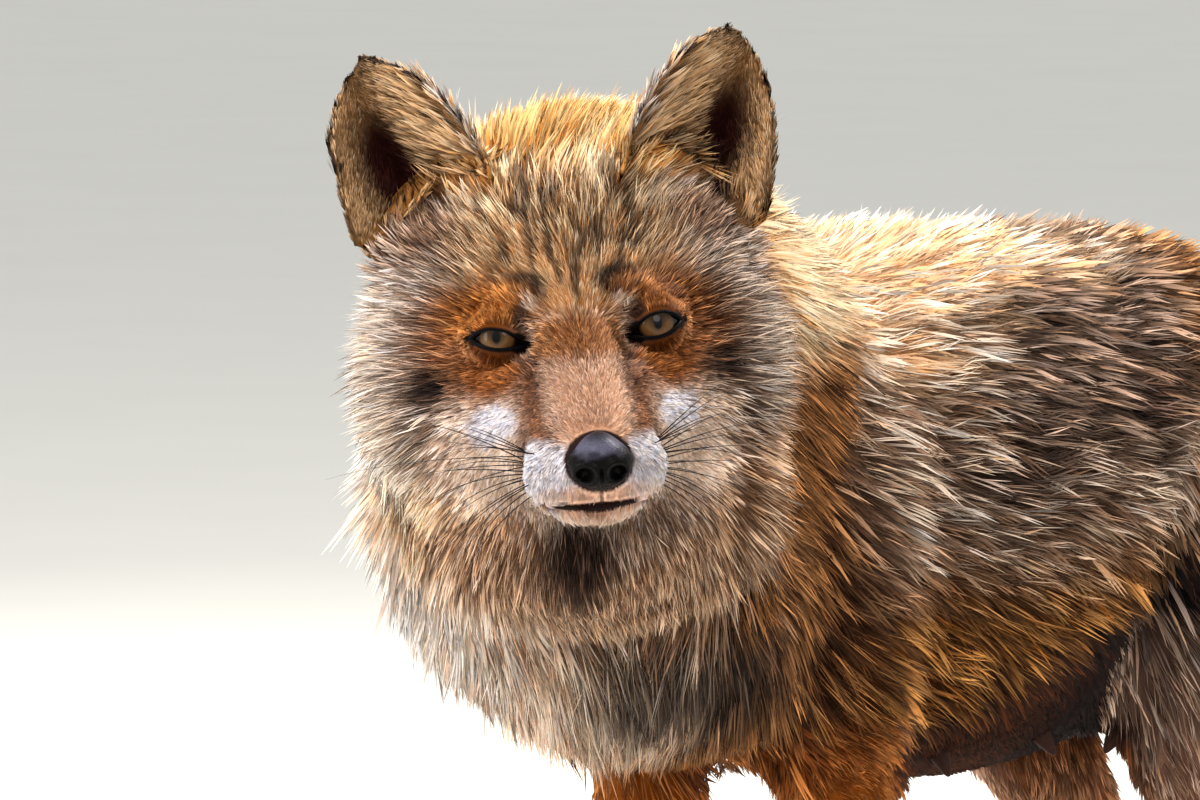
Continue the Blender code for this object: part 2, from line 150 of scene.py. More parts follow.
def triangles_of(obj):
    obj.data.calc_loop_triangles()
    return read(obj.data.loop_triangles, "vertices", 3, np.int32)


def joined(objects, name):
    """The objects as one, under this name."""
    make_active(objects[0])
    for obj in objects[1:]:
        obj.select_set(True)
    bpy.ops.object.join()
    objects[0].name = objects[0].data.name = name
    return objects[0]


def smooth(obj):
    for face in obj.data.polygons:
        face.use_smooth = True
    return obj


def unit(vectors):
    return vectors / np.maximum(np.linalg.norm(vectors, axis=-1, keepdims=True), 1e-9)


def turned(lie, normal, angle):
    """Directions along the skin, turned round its normals by an angle."""
    return lie * np.cos(angle)[:, None] + np.cross(normal, lie) * np.sin(angle)[:, None]


def along_skin(vectors, normals):
    """Directions with the part that stands off the skin taken out."""
    return unit(vectors - normals * (vectors * normals).sum(1)[:, None])


def evened(values, edges, rounds):
    """Values at the vertices, mixed with those next to them, round after round."""
    count = np.maximum(np.bincount(edges.ravel(), minlength=len(values)), 1)
    values = values.reshape(len(values), -1).copy()
    for _ in range(rounds):
        for k in range(values.shape[1]):
            column = values[:, k]
            near = np.bincount(edges[:, 0], column[edges[:, 1]], len(column))
            near += np.bincount(edges[:, 1], column[edges[:, 0]], len(column))
            values[:, k] = 0.5 * column + 0.5 * near / count
    return values


def rise(low, high, x):
    """0 below low, 1 above high, and smooth between; low may be the larger."""
    t = np.clip((x - low) / (high - low), 0, 1)
    return t * t * (3 - 2 * t)


def from_middle(points, centre, radii):
    """The square of how far points are from an ellipsoid's middle, 1 on its surface."""
    return (((points - centre) / radii) ** 2).sum(1)


def mottle(points, size, seed=0):
    """Smooth random values from -1 to 1 at points, in patches about `size` across."""
    grid = points / size + seed * 17.3
    cell = np.floor(grid).astype(np.int64)
    part = grid - cell
    part = part * part * (3 - 2 * part)
    total = np.zeros(len(points))
    for corner in range(8):
        step = np.array([corner & 1, corner >> 1 & 1, corner >> 2])
        spot = (cell + step) * np.array([73856093, 19349663, 83492791])
        code = (spot[:, 0] ^ spot[:, 1] ^ spot[:, 2] ^ seed * 2654435761) & 0xFFFFFFFF
        code = (code ^ code >> 13) * 1274126177 & 0xFFFFFFFF
        share = np.prod(np.where(step, part, 1 - part), axis=1)
        total += share * ((code ^ code >> 16) / 2147483648.0 - 1)
    return total


def colour(red, green, blue):
    """A colour as seen on a screen, from 0 to 255, made linear."""
    c = np.array([red, green, blue]) / 255
    return np.where(c < 0.04045, c / 12.92, ((c + 0.055) / 1.055) ** 2.4)


def add_colours(obj, name, colours):
    layer = obj.data.color_attributes.new(name, "FLOAT_COLOR", "POINT")
    filled = np.ones((len(colours), 4), np.float32)
    filled[:, :3] = colours
    layer.data.foreach_set("color", filled.ravel())


def add_values(obj, name, values):
    layer = obj.data.attributes.new(name, "FLOAT", "POINT")
    layer.data.foreach_set("value", np.asarray(values, np.float32))


def finished(obj, material, slot, *nodes):
    """Gives a piece its material and body, and the nodes that it stands for; the slot is not used."""
    obj.data.materials.clear()
    obj.data.materials.append(material)
    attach(obj, "root")
    if nodes:
        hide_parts(*nodes)
    return obj


# ---------------------------------------------------------------- where things are on the head


class Eye:
    """One eye: its ball, the plane of its lids and the almond between them. side is 1 for the fox's left."""

    LENGTH = 8.8  # half the opening's length
    TURN_OUT = math.radians(16)
    LIFT = math.radians(13)
    SLANT = math.radians(9)

    def __init__(self, side):
        self.side = side
        self.centre = np.array([side * EYE_SPACING, EYE_BACK, 0.0])
        out = np.array([side * math.cos(self.TURN_OUT), math.sin(self.TURN_OUT), 0.0])
        level = np.array([side * math.sin(self.TURN_OUT), -math.cos(self.TURN_OUT), 0.0])
        upright = np.array([0.0, 0.0, 1.0])
        self.front = math.cos(self.LIFT) * level + math.sin(self.LIFT) * upright
        rising = math.cos(self.LIFT) * upright - math.sin(self.LIFT) * level
        self.along = math.cos(self.SLANT) * out + math.sin(self.SLANT) * rising
        self.up = math.cos(self.SLANT) * rising - math.sin(self.SLANT) * out
        self.gaze = unit(np.array([side * 0.158, -0.97, 0.27]))

    def axes(self, points):
        """Along towards the outer corner, up, out of the head, and how far outside the opening."""
        from_centre = points - self.centre
        along, up = from_centre @ self.along, from_centre @ self.up
        return along, up, from_centre @ self.front, self.outside(along, up)

    def upper_edge(self, along):
        t = np.clip((along + 0.8) / self.LENGTH, -1, 1)
        return (4.3 + 0.35 * self.side) * (1 - np.abs(t) ** 2.4) ** 0.9 - 1.3

    def lower_edge(self, along):
        t = np.clip((along + 0.3) / self.LENGTH, -1, 1)
        return -(2.2 + 0.25 * self.side) * (1 - np.abs(t) ** 2.2) - 1.2

    def outside(self, along, up):
        """How far a point lies outside the opening; negative between the lids."""
        over = np.maximum(up - self.upper_edge(along), self.lower_edge(along) - up)
        return np.maximum(over, np.abs(along + 0.4) - self.LENGTH)

    def lid_height(self, along, up, thickness):
        """How far out the lid's surface lies over the ball."""
        return np.sqrt(np.maximum((EYE_RADIUS + thickness) ** 2 - along**2 - up**2, 0.0))


EYES = (Eye(1), Eye(-1))
EARS = ((1, "ear_left"), (-1, "ear_right"))
EAR_HEIGHT = 67.0
NOSE_MIDDLE = np.array([1.2, -74.5, -24.3])
FACE_LIFT = math.radians(14)  # the face's own plane leans back by this from the head's upright


def in_face(head):
    """Points of the head as seen square to the face: across, back and up."""
    x, y, z = head.T
    cos, sin = math.cos(FACE_LIFT), math.sin(FACE_LIFT)
    return np.stack([x, y * cos - z * sin, z * cos + y * sin], 1)


def mouth_height(head):
    """The height of the slit between the lips, for points of the head."""
    return np.interp(head[:, 1], [-82, -72, -60, -45, -30, -22], [-39.0, -39.6, -41.0, -43.0, -44.2, -42.5])


def mouth_share(head):
    """1 along the mouth from its front to near its corner, and 0 behind it."""
    return rise(-24, -30, head[:, 1])


# ---------------------------------------------------------------- skin


def solid_copy(node):
    """A copy of a node with its loose triangles merged, swollen so that it meets its neighbours."""
    obj = new_object(f"copy_of_{node}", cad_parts[node].data.copy())
    make_active(obj)
    bpy.ops.object.mode_set(mode="EDIT")
    bpy.ops.mesh.select_all(action="SELECT")
    bpy.ops.mesh.remove_doubles(threshold=0.00002)
    bpy.ops.object.mode_set(mode="OBJECT")
    apply_modifier(obj, "DISPLACE", strength=SWELL * MM, mid_level=0.0)
    return obj


def keep_largest_body(obj):
    """Drops what lies loose inside or beside the skin."""
    work = bmesh.new()
    work.from_mesh(obj.data)
    islands, left = [], set(work.verts)
    while left:
        island, front = set(), [left.pop()]
        while front:
            vert = front.pop()
            island.add(vert)
            near = {edge.other_vert(vert) for edge in vert.link_edges} & left
            left -= near
            front += near
        islands.append(island)
    islands.sort(key=len)
    bmesh.ops.delete(work, geom=[vert for island in islands[:-1] for vert in island], context="VERTS")
    work.to_mesh(obj.data)
    work.free()


def solids_surface():
    """The outside of the solids, to measure from, and which node each of its faces is of."""
    points, faces, nodes = [], [], []
    for index, node in enumerate(FLESH):
        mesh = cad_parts[node].data
        start = len(points)
        points += [vertex.co for vertex in mesh.vertices]
        faces += [[start + i for i in face.vertices] for face in mesh.polygons]
        nodes += [index] * len(mesh.polygons)
    return BVHTree.FromPolygons(points, faces), np.array(nodes)


def nearest_nodes(points, surface, nodes):
    """For each point, the node that it is nearest to and how far off that is, in millimetres."""
    found = [surface.find_nearest(point) for point in points.tolist()]
    return nodes[[hit[2] for hit in found]], np.array([hit[3] for hit in found]) / MM


def is_node(labels, *starts):
    """Whether each point belongs to a node whose name starts so."""
    return np.isin(labels, [index for index, name in enumerate(FLESH) if name.startswith(starts)])


def belly_share(body):
    """1 on the thin fur of the belly behind the forelegs, 0 on the flanks; its edge rises backwards."""
    _, y, z = body.T
    return rise(9, -7, z - 219 - 0.20 * (y - 60)) * rise(5, 40, y) * rise(335, 300, y)


def coat_depth(points, labels):
    """How deep the coat is, in millimetres, from the bare muzzle to the ruff and the brush."""
    head, body = in_head(points), in_body(points)
    depth = np.full(len(points), 10.0)
    face = np.interp(head[:, 1], [-60, -36, -15, 5, 22, 42, 75], [1.1, 1.3, 1.8, 3.0, 5.0, 9.0, 11.0])
    cheek = rise(36, 58, np.abs(head[:, 0])) * rise(14, -4, head[:, 2]) * rise(-14, 14, head[:, 1])
    face = face + (9.0 - face) * cheek * (face < 9)
    trunk = 9.5 + 5.5 * rise(-40, -90, body[:, 1])
    trunk *= 0.22 + 0.78 * rise(196, 222, body[:, 2]) * (1 - belly_share(body))
    for nodes, own in (
        (("head",), face),
        (("neck",), 13.0),
        (("trunk",), trunk),
        (("thigh",), 3.5 + 4.5 * rise(170, 240, body[:, 2])),
        (("foreleg", "hindleg"), 1.9 + 2.4 * rise(110, 195, body[:, 2])),
        (("forepaw", "hindpaw"), 1.3),
        (("tail_brush",), 15.0),
        (("tail_root",), 10.5),
        (("tail_tip",), np.interp(body[:, 2], [30, 60, 110], [2.5, 9, 15])),
        (("ear",), 0.8),
    ):
        depth = np.where(is_node(labels, *nodes), own, depth)
    return depth


def refine(obj, chosen, cuts):
    """Divides the faces whose vertices are all chosen, and evens the new ones out."""
    work = bmesh.new()
    work.from_mesh(obj.data)
    for face in work.faces:
        face.select_set(all(chosen[vert.index] for vert in face.verts))
    work.select_flush_mode()
    work.to_mesh(obj.data)
    work.free()
    make_active(obj)
    bpy.ops.object.mode_set(mode="EDIT")
    bpy.ops.mesh.select_mode(type="FACE")
    bpy.ops.mesh.subdivide(number_cuts=cuts)
    bpy.ops.mesh.vertices_smooth(factor=0.5, repeat=cuts + 2)
    bpy.ops.object.mode_set(mode="OBJECT")


def shape_lids(head):
    """Lays the lids over the balls, and carries the skin behind the balls between the lids."""
    for eye in EYES:
        along, up, height, outside = eye.axes(head)
        spread = np.hypot(along, up)
        near = (height > 0) & (spread < 24)
        lid = eye.lid_height(along, up, 1.1)
        slope = 4.2 - 0.55 * (spread - EYE_RADIUS + 0.4)
        lid = np.where(spread < EYE_RADIUS - 0.4, lid, np.maximum(lid, slope))
        own = rise(1.0, 12.0, outside)
        target = lid + (height - lid) * own
        target = np.maximum(target, eye.lid_height(along, up, 1.0) * (spread < EYE_RADIUS))
        fold = 0.55 * np.exp(-(((up - eye.upper_edge(along) - 2.9) / 0.8) ** 2)) * rise(10, 6, np.abs(along))
        target = target - fold * (up > 0)
        inside = eye.lid_height(along, up, -1.8)
        target = inside + (target - inside) * rise(-0.5, 0.25, outside)
        moved = np.where(near, target - height, 0.0)
        head = head + moved[:, None] * eye.front
    return head


def shape_mouth(head, normals):
    """Presses in the slit between the lips and the groove from it up to the nose."""
    gap = head[:, 2] - mouth_height(head)
    wide = np.interp(np.abs(head[:, 0]), [0, 12, 24], [1.7, 1.1, 0.8])
    slit = np.exp(-((gap / wide) ** 2)) * mouth_share(head) * (normals[:, 1] < 0.35)
    front = rise(-60, -70, head[:, 1])
    pressed = slit * (1.2 + 1.5 * front)
    under = rise(-0.5, -3.0, gap) * rise(-22, -34, head[:, 1]) * rise(-58, -50, head[:, 2])
    pressed = pressed + 1.3 * under
    middle = np.exp(-((head[:, 0] / 0.8) ** 2)) * rise(-66, -72, head[:, 1])
    pressed = pressed + 0.9 * (middle * rise(1.0, 2.5, gap) * (head[:, 2] < -30))
    return head - normals * pressed[:, None]


def make_skin(surface, nodes):
    """One closed skin through all the flesh, sunk by the coat's depth, with the face worked into it."""
    copies = [solid_copy(node) for node in [*FLESH, "eye_left", "eye_right", "nose"]]
    skin = joined(copies, "skin")
    skin.data.materials.clear()
    apply_modifier(skin, "REMESH", mode="VOXEL", voxel_size=SKIN_VOXEL * MM)
    apply_modifier(skin, "SMOOTH", factor=0.5, iterations=2)
    keep_largest_body(skin)
    points = points_of(skin)
    labels, _ = nearest_nodes(points, surface, nodes)
    depth = evened(coat_depth(points, labels), edges_of(skin), 14)
    points = points - normals_of(skin) * (depth + SWELL) * MM
    body = in_body(points)
    loose = np.where((body[:, 2] > 130) & (in_head(points)[:, 1] > 24), 1.0, 0.0)
    loose = loose * ~is_node(labels, "ear")
    points = points + loose[:, None] * (evened(points, edges_of(skin), 10) - points)
    points[:, 2] = np.maximum(points[:, 2], 0.0)
    move_points(skin, points)
    head = in_head(points)
    face = (head[:, 1] < 20) & (np.abs(head[:, 0]) < 44) & (head[:, 2] > -62) & (head[:, 2] < 26)
    refine(skin, face, 2)
    head = in_head(points_of(skin))
    fine = (np.abs(head[:, 2] - mouth_height(head)) < 4) & (mouth_share(head) > 0)
    for eye in EYES:
        _, _, height, outside = eye.axes(head)
        fine |= (outside < 3.5) & (height > 0)
    refine(skin, fine, 2)
    head = shape_mouth(in_head(points_of(skin)), unit(normals_of(skin) @ TURN))
    under_nose = np.sqrt(from_middle(head, NOSE_MIDDLE, (9.8, 11.0, 9.0)))
    head[:, 1] += 7.0 * rise(1.0, 0.72, under_nose)
    move_points(skin, from_head(shape_lids(head)))
    return smooth(skin)


# ---------------------------------------------------------------- markings


def richer(paint):
    """A colour with its hue a little stronger, as the sky's light greys the hair."""
    return np.maximum(paint.mean() + 1.14 * (paint - paint.mean()), 0.002)


# Each kind of fur: the colour of a hair at its root, its middle and its tip.
FUR = {
    name: np.array([richer(colour(*part)) for part in parts])
    for name, parts in {
        "flank": ((50, 31, 20), (170, 134, 110), (255, 238, 220)),
        # back: its own orange gold made pale cream, partly painted sunlight falling on the top of the back
        "back": ((220, 164, 118), (255, 224, 190), (255, 246, 232)),
        "saddle": ((17, 10, 7), (46, 30, 23), (136, 104, 88)),
        "low_flank": ((46, 24, 10), (136, 86, 42), (204, 150, 96)),
        "neck": ((27, 13, 7), (80, 46, 25), (164, 116, 78)),
        "mane": ((150, 94, 50), (250, 208, 160), (255, 238, 208)),
        "chest": ((116, 74, 52), (240, 192, 156), (255, 240, 222)),
        "pale_chest": ((176, 142, 118), (246, 222, 204), (255, 246, 236)),
        "ruff": ((62, 37, 23), (168, 124, 94), (234, 202, 174)),
        # inner: near black, painted shadow between the flank, the belly and the thighs
        "inner": ((6, 2, 2), (16, 5, 4), (34, 12, 9)),
        "dark": ((12, 6, 5), (32, 18, 13), (84, 58, 46)),
        "black": ((12, 9, 8), (24, 18, 16), (48, 38, 34)),
        "belly": ((22, 9, 5), (50, 24, 10), (72, 38, 20)),
        "foreleg": ((74, 35, 15), (142, 80, 40), (192, 130, 84)),
        "hind_leg": ((56, 39, 32), (144, 114, 100), (226, 200, 180)),
        "tail": ((84, 44, 22), (160, 98, 54), (120, 78, 50)),
        "white": ((140, 126, 124), (212, 204, 208), (236, 232, 238)),
        "cheek": ((42, 26, 18), (170, 134, 110), (255, 238, 224)),
        "pale_cheek": ((130, 106, 90), (226, 206, 188), (252, 240, 228)),
        # crown: its own golden colour, brightened as painted sunlight from behind and above
        "crown": ((176, 102, 50), (255, 190, 116), (255, 222, 162)),
        "forehead": ((28, 12, 5), (240, 166, 104), (255, 240, 206)),
        "brow": ((60, 27, 8), (140, 76, 30), (206, 144, 92)),
        "under_eye": ((56, 27, 11), (108, 58, 27), (158, 102, 64)),
        "bridge": ((158, 114, 90), (208, 166, 140), (230, 198, 176)),
        "stop": ((74, 37, 17), (142, 89, 54), (196, 148, 110)),
        "muzzle_side": ((38, 18, 10), (88, 54, 36), (138, 98, 76)),
        "tear": ((24, 11, 6), (56, 30, 17), (98, 62, 42)),
        "lip": ((200, 156, 134), (252, 212, 190), (255, 230, 212)),
        "cream_jaw": ((170, 138, 116), (240, 208, 186), (254, 238, 224)),
        "ear_hair": ((44, 26, 16), (170, 124, 82), (250, 212, 170)),
        "ear_hollow": ((20, 6, 3), (40, 12, 6), (50, 20, 12)),
        "ear_fringe": ((24, 16, 13), (104, 80, 66), (252, 244, 236)),
        "ear_back": ((16, 12, 11), (30, 22, 20), (52, 40, 36)),
        "ear_base": ((120, 70, 32), (216, 156, 98), (248, 212, 164)),
    }.items()
}


def painted(fur, *layers):
    """Lays kinds of fur over the colours so far, each by its share for each point."""
    for kind, share in layers:
        fur = fur + (FUR[kind] - fur) * np.clip(share, 0, 1)[:, None, None]
    return fur


def spot(points, centre, radii, soft=0.35):
    """1 inside an ellipsoid and 0 outside, smooth across its edge."""
    return rise(1 + soft, 1 - soft, np.sqrt(from_middle(points, centre, radii)))


def ear_axes(head, normals, side):
    """Places on an ear: share of its height, millimetres across (out is +) and how far they face out
    of its opening; and its directions up and across."""
    base = np.array([side * 42.0, 45.0, 25.0])
    along = unit(np.array([side * 0.30, 0.22, 0.93]))
    across = np.array([side * 0.86, 0.18, -0.36])
    across = unit(across - along * across.dot(along))
    opening = np.cross(across, along) * side
    q = head - base
    return q @ along / EAR_HEIGHT, q @ across, normals @ TURN @ opening, along, across


def ear_edge(height):
    """Half the ear's width at a share of its height."""
    return 29.0 * np.maximum(1 - np.clip(height, 0, 1) ** 2.6, 0.02) ** 0.66


def body_fur(points, normals):
    body = in_body(points)
    x, y, z = body.T
    z = z + 10 * mottle(points, 0.05, 1)
    y = y + 12 * mottle(points, 0.05, 2)
    streaks = rise(0.15, 0.6, mottle(points * [1, 0.5, 1], 0.020, 3))
    edge = 350 + np.clip(0.18 * (y - 20), 0, 34)
    ridge = rise(edge - 20, edge + 18, z + 14 * mottle(points * [1, 0.35, 1], 0.012, 14)) * rise(-70, -20, y)
    front = rise(0.20, -0.45, normals[:, 1] + 0.35 * normals[:, 0]) * rise(-45, -85, y)
    belly = belly_share(body)
    return painted(
        np.broadcast_to(FUR["flank"], (len(points), 3, 3)),
        ("low_flank", rise(286, 250, z)),
        ("saddle", (0.8 + 0.15 * streaks) * rise(282, 318, z) * rise(70, 125, y)),
        ("saddle", (0.1 + 0.7 * streaks) * rise(262, 290, z) * rise(20, 100, y)),
        # the pale fur along the top line of the back: partly its own colour, partly painted sunlight
        ("back", ridge * rise(300, 190, y)),
        ("neck", rise(30, -30, y)),
        ("mane", rise(10, -50, y) * rise(342, 374, z + 0.25 * np.minimum(y + 60, 0))),
        ("chest", front * rise(360, 330, z)),
        ("pale_chest", front * rise(18, -36, x + 0.25 * (y + 150)) * rise(355, 320, z)),
        ("pale_chest", 0.45 * front * rise(0.1, 0.6, mottle(points, 0.030, 4))),
        ("mane", 0.7 * spot(body, (-31, -166, 308), (22, 50, 16), 0.6)),
        ("ruff", 0.6 * front * rise(262, 240, z)),
        ("low_flank", 0.75 * rise(225, 320, y)),
        ("black", 0.9 * spot(body, (34, -84, 251), (30, 44, 20), 0.5)),
        ("black", 0.9 * spot(body, (2, -140, 238), (9, 40, 7), 0.5)),
        ("black", 0.9 * spot(body, (-46, -120, 240), (12, 40, 11), 0.5)),
        ("ruff", 0.8 * front * rise(228, 214, z)),
        ("foreleg", rise(228, 206, z) * rise(60, 40, np.abs(y + 10))),
        ("belly", belly),
        # painted shadow on the rear of the belly, towards the hind legs
        ("inner", belly * rise(135, 185, body[:, 1])),
        # painted shadow in the fold between the left flank and the thigh
        ("inner", 0.75 * spot(body, (56, 240, 262), (30, 26, 16), 0.7)),
    )


def leg_fur(fur, points, normals, labels):
    x, y, z = in_body(points).T
    fore, hind = is_node(labels, "fore"), is_node(labels, "thigh", "hind")
    wander = 10 * mottle(points, 0.016, 5)
    inner = hind * rise(0.1, -0.5, normals[:, 0] * np.sign(x)) * rise(150, 190, z)
    return painted(
        fur,
        ("foreleg", fore * rise(214, 186, z)),
        ("black", fore * rise(112, 60, z + wander + 0.9 * np.clip(y + 10, -20, 30))),
        ("hind_leg", hind * rise(252, 205, z + wander)),
        ("belly", inner),
        # painted shadow on the sides of the hind legs that face each other
        ("inner", 0.5 * inner),
        ("foreleg", 0.7 * hind * rise(230, 130, z + 0.3 * (290 - y))),
        ("black", hind * rise(66, 34, z + wander)),
    )


def tail_fur(fur, points, labels):
    z = in_body(points)[:, 2] + 8 * mottle(points, 0.02, 6)
    tail = is_node(labels, "tail")
    return painted(
        fur,
        ("tail", tail * rise(345, 318, z)),
        ("dark", 0.55 * tail * rise(0.1, 0.5, mottle(points, 0.018, 7)) * rise(90, 120, z)),
        ("flank", 0.4 * tail * rise(0.0, 0.5, mottle(points, 0.012, 15)) * rise(90, 120, z)),
        ("white", tail * rise(84, 62, z)),
    )


def head_fur(fur, points, labels):
    head = in_head(points)
    wander = mottle(points, 0.010, 8)
    face = in_face(head)
    x, y, z = face.T
    wide = np.abs(x)
    q = np.stack([wide + 1.5 * wander, y, z + 1.5 * mottle(points, 0.010, 9)], 1)
    chin_shadow_place = np.stack([x + 3 * wander, y, z + 3 * wander], 1)
    here = np.maximum(rise(60, 40, head[:, 1]) * ~is_node(labels, "trunk"), is_node(labels, "head"))
    lines = mottle(np.stack([x, 0.1 * y, 0.2 * z], 1) * MM, 0.0026, 12)
    forehead = rise(2, 12, z) * rise(64, 44, z + 8 * lines) * rise(48, 28, wide + 0.3 * (z - 20))
    stripes = 0.8 * rise(0.1, 0.4, lines) * here * rise(4, 16, z) * rise(66, 50, z) * rise(36, 22, wide)
    taper = 0.14 * (-20 - z) * (z < -20)
    pads = rise(-33.0, -38.0, z - 0.20 * (wide - 14)) * rise(-38, -48, y) * rise(3, 8, wide)
    pepper = rise(0.55, 0.75, mottle(points * [1, 1, 2], 0.0019, 11))
    return painted(
        fur,
        ("cheek", here),
        ("neck", here * rise(34, 62, y) * rise(34, 10, z) * rise(-20, 20, x)),
        ("pale_cheek", here * rise(30, 50, y) * rise(-10, -40, x) * rise(34, 10, z)),
        ("mane", 0.9 * spot(face, (-50, 46, -62), (20, 40, 20), 0.6)),
        ("pale_cheek", here * 0.8 * rise(54, 64, wide) * rise(24, 8, z) * rise(66, 36, y)),
        ("neck", 0.75 * here * spot(q, (45, 32, 36), (16, 34, 10), 0.6)),
        ("ruff", here * rise(-26, -48, z) * rise(30, 50, wide) * rise(-34, -10, x + 20 * wander)),
        ("brow", 0.85 * spot(q, (41, 14, -2), (15, 34, 15), 0.6)),
        ("ruff", here * rise(-50, -62, z) * rise(6, 20, y) * rise(75, 60, wide)),
        ("cream_jaw", 0.5 * rise(-40, -52, z) * rise(0, -16, y) * here),
        ("cream_jaw", spot(q, (38, 0, -42), (20, 48, 15), 0.45)),
        # the golden crown: partly its own colour, partly painted sunlight from behind
        ("crown", here * rise(42, 60, z + 8 * lines)),
        ("forehead", forehead * here),
        ("dark", stripes),
        ("dark", 0.35 * spot(q, (7, 20, 40), (8, 40, 8), 0.6)),
        ("dark", 0.6 * spot(q, (0, 0, 25), (2.2, 30, 6), 0.6)),
        ("black", 0.95 * spot(q, (15.8, 0, 17.2), (8.5, 30, 5.6), 0.4)),
        ("brow", spot(q, (31, 5, 10), (17, 40, 9.5), 0.5)),
        # painted shade on one side only: the brow over the fox's left eye is darkened as if less light fell
        # there
        ("tear", 0.45 * spot(face, (31, 5, 11), (17, 40, 9), 0.6)),
        ("under_eye", spot(q, (28.5, -4, -11.0), (14.5, 40, 10.0), 0.55)),
        ("stop", rise(17, 12, wide) * rise(10, 3, z) * rise(-14, -6, z) * rise(30, 10, y)),
        ("muzzle_side", rise(6, 15, wide) * rise(30, 17, wide) * rise(-4, -14, z) * rise(-6, -16, y)),
        ("bridge", rise(18, 8.5, wide + taper) * rise(-4, -16, z) * rise(-8, -18, y)),
        ("tear", 0.85 * spot(q, (15.4, -14, -12), (2.6, 40, 12), 0.8)),
        ("white", spot(q, (30.5, -8, -28.0), (7.6, 40, 6.6), 0.3)),
        ("white", pads),
        ("tear", 0.85 * pads * pepper * rise(-50, -44, z)),
        ("dark", 0.9 * spot(q, (22.5, -44, -32.0), (3.4, 14, 6.0), 0.6)),
        ("lip", rise(-48, -52.0, z) * rise(-44, -54, y) * (0.6 + 0.4 * rise(13, 8, wide))),
        ("lip", rise(-56, -58.5, z) * rise(-38, -48, y)),
        ("dark", 0.9 * spot(q, (19.0, -2, 7.0), (3.0, 30, 4.2), 0.5)),
        ("pale_cheek", 0.55 * spot(q, (15.8, -2, 11.2), (2.8, 30, 2.2), 0.6)),
        ("dark", 0.95 * spot(q, (49, 12, -14), (9, 40, 6), 0.5)),
        ("dark", 0.9 * spot(face, (-41, 50, 48), (7, 16, 6), 0.5)),
        ("ear_base", 0.7 * spot(face, (-60, 20, -57), (12, 60, 12), 0.5)),
        # painted shadow under the chin: a dark patch on the throat below the jaw
        ("dark", 0.97 * spot(chin_shadow_place, (-5, 6, -75), (12, 60, 15), 0.5)),
    )


def ear_fur(fur, points, normals, labels):
    for side, node in EARS:
        here = is_node(labels, node).astype(float)
        height, across, facing, _, _ = ear_axes(in_head(points), normals, side)
        inner = rise(-0.1, 0.35, facing)
        rim = rise(0.80, 0.93, np.abs(across) / ear_edge(height))
        hollow = spot(np.stack([across, height * EAR_HEIGHT], 1), (7.5, 23), (12, 25), 0.45)
        low = rise(0.42, 0.18, height + 0.1 * mottle(points, 0.01, 10))
        fur = painted(
            fur,
            ("ear_back", here * (1 - inner)),
            ("ear_base", here * (1 - inner) * low),
            ("ear_hair", here * inner),
            ("ear_hollow", here * inner * hollow),
            ("ear_back", here * 0.8 * rim * rise(-4, 6, across)),
            ("ear_back", here * 0.6 * rise(0.76, 0.94, height)),
            ("ear_fringe", here * rim * rise(4, -6, across) * rise(0.2, 0.4, height)),
        )
    return fur


def fur_colours(points, normals, labels):
    """Root, middle and tip colours of the hair that grows at each point."""
    fur = body_fur(points, normals)
    fur = leg_fur(fur, points, normals, labels)
    fur = tail_fur(fur, points, labels)
    fur = head_fur(fur, points, labels)
    return ear_fur(fur, points, normals, labels)


def mixed(paint, other, share):
    return paint + (other - paint) * share[:, None]


def skin_colours(points, normals, labels):
    """The skin and its underfur: the fur's own colours, black lids and lips, bare ear hollows."""
    fur = fur_colours(points, normals, labels)
    head = in_head(points)
    paint = 0.35 * fur[:, 0] + 0.65 * fur[:, 1]
    long_fur = rise(2.0, 9.0, coat_depth(points, labels))
    paint = paint + (fur[:, 0] - paint) * 0.75 * long_fur[:, None]
    shine = np.zeros(len(points))
    for eye in EYES:
        along, _, height, outside = eye.axes(head)
        paint = paint * (1 - 0.45 * rise(5.0, 1.5, outside) * (height > 0))[:, None]
        corner = rise(6.0, 9.0, np.abs(along))
        black = rise(1.6, 0.8, outside - 2.2 * corner) * (height > 0)
        paint = mixed(paint, colour(7, 5, 5), black)
        shine = np.maximum(shine, black)
    gap = head[:, 2] - mouth_height(head)
    above = np.interp(np.abs(head[:, 0]), [0, 14, 24], [1.0, 0.6, 0.4])
    below = np.interp(np.abs(head[:, 0]), [0, 9, 15, 24], [3.1, 2.4, 0.8, 0.5])
    lips = rise(above + 0.4, above - 0.2, gap) * rise(-below - 0.5, -below + 0.2, gap) * mouth_share(head)
    lips = lips * rise(16, 12.5, np.abs(head[:, 0] + 1))
    paint = mixed(paint, colour(22, 10, 7), lips)
    nose = from_middle(head, NOSE_MIDDLE, (10.9, 9.2, 9.7))
    paint = mixed(paint, colour(34, 22, 20), rise(1.25, 1.06, nose))
    middle = rise(0.9, 0.4, np.abs(head[:, 0] - 1)) * rise(-68, -72, head[:, 1]) * rise(-31, -32, head[:, 2])
    middle = 0.8 * (middle * (gap > 0.5)) * (head[:, 2] > -40)
    return mixed(paint, colour(70, 46, 38), middle), np.maximum(shine, 0.6 * lips)


# ---------------------------------------------------------------- materials


def new_material(name, roughness=0.6, **sockets):
    """A material with these values on its shader's own sockets, and its node tools."""
    material = bpy.data.materials.new(name)
    material.use_nodes = True
    shader = material.node_tree.nodes["Principled BSDF"]
    shader.inputs["Roughness"].default_value = roughness
    for socket, value in sockets.items():
        shader.inputs[socket.replace("_", " ")].default_value = value
    return material, material.node_tree, shader


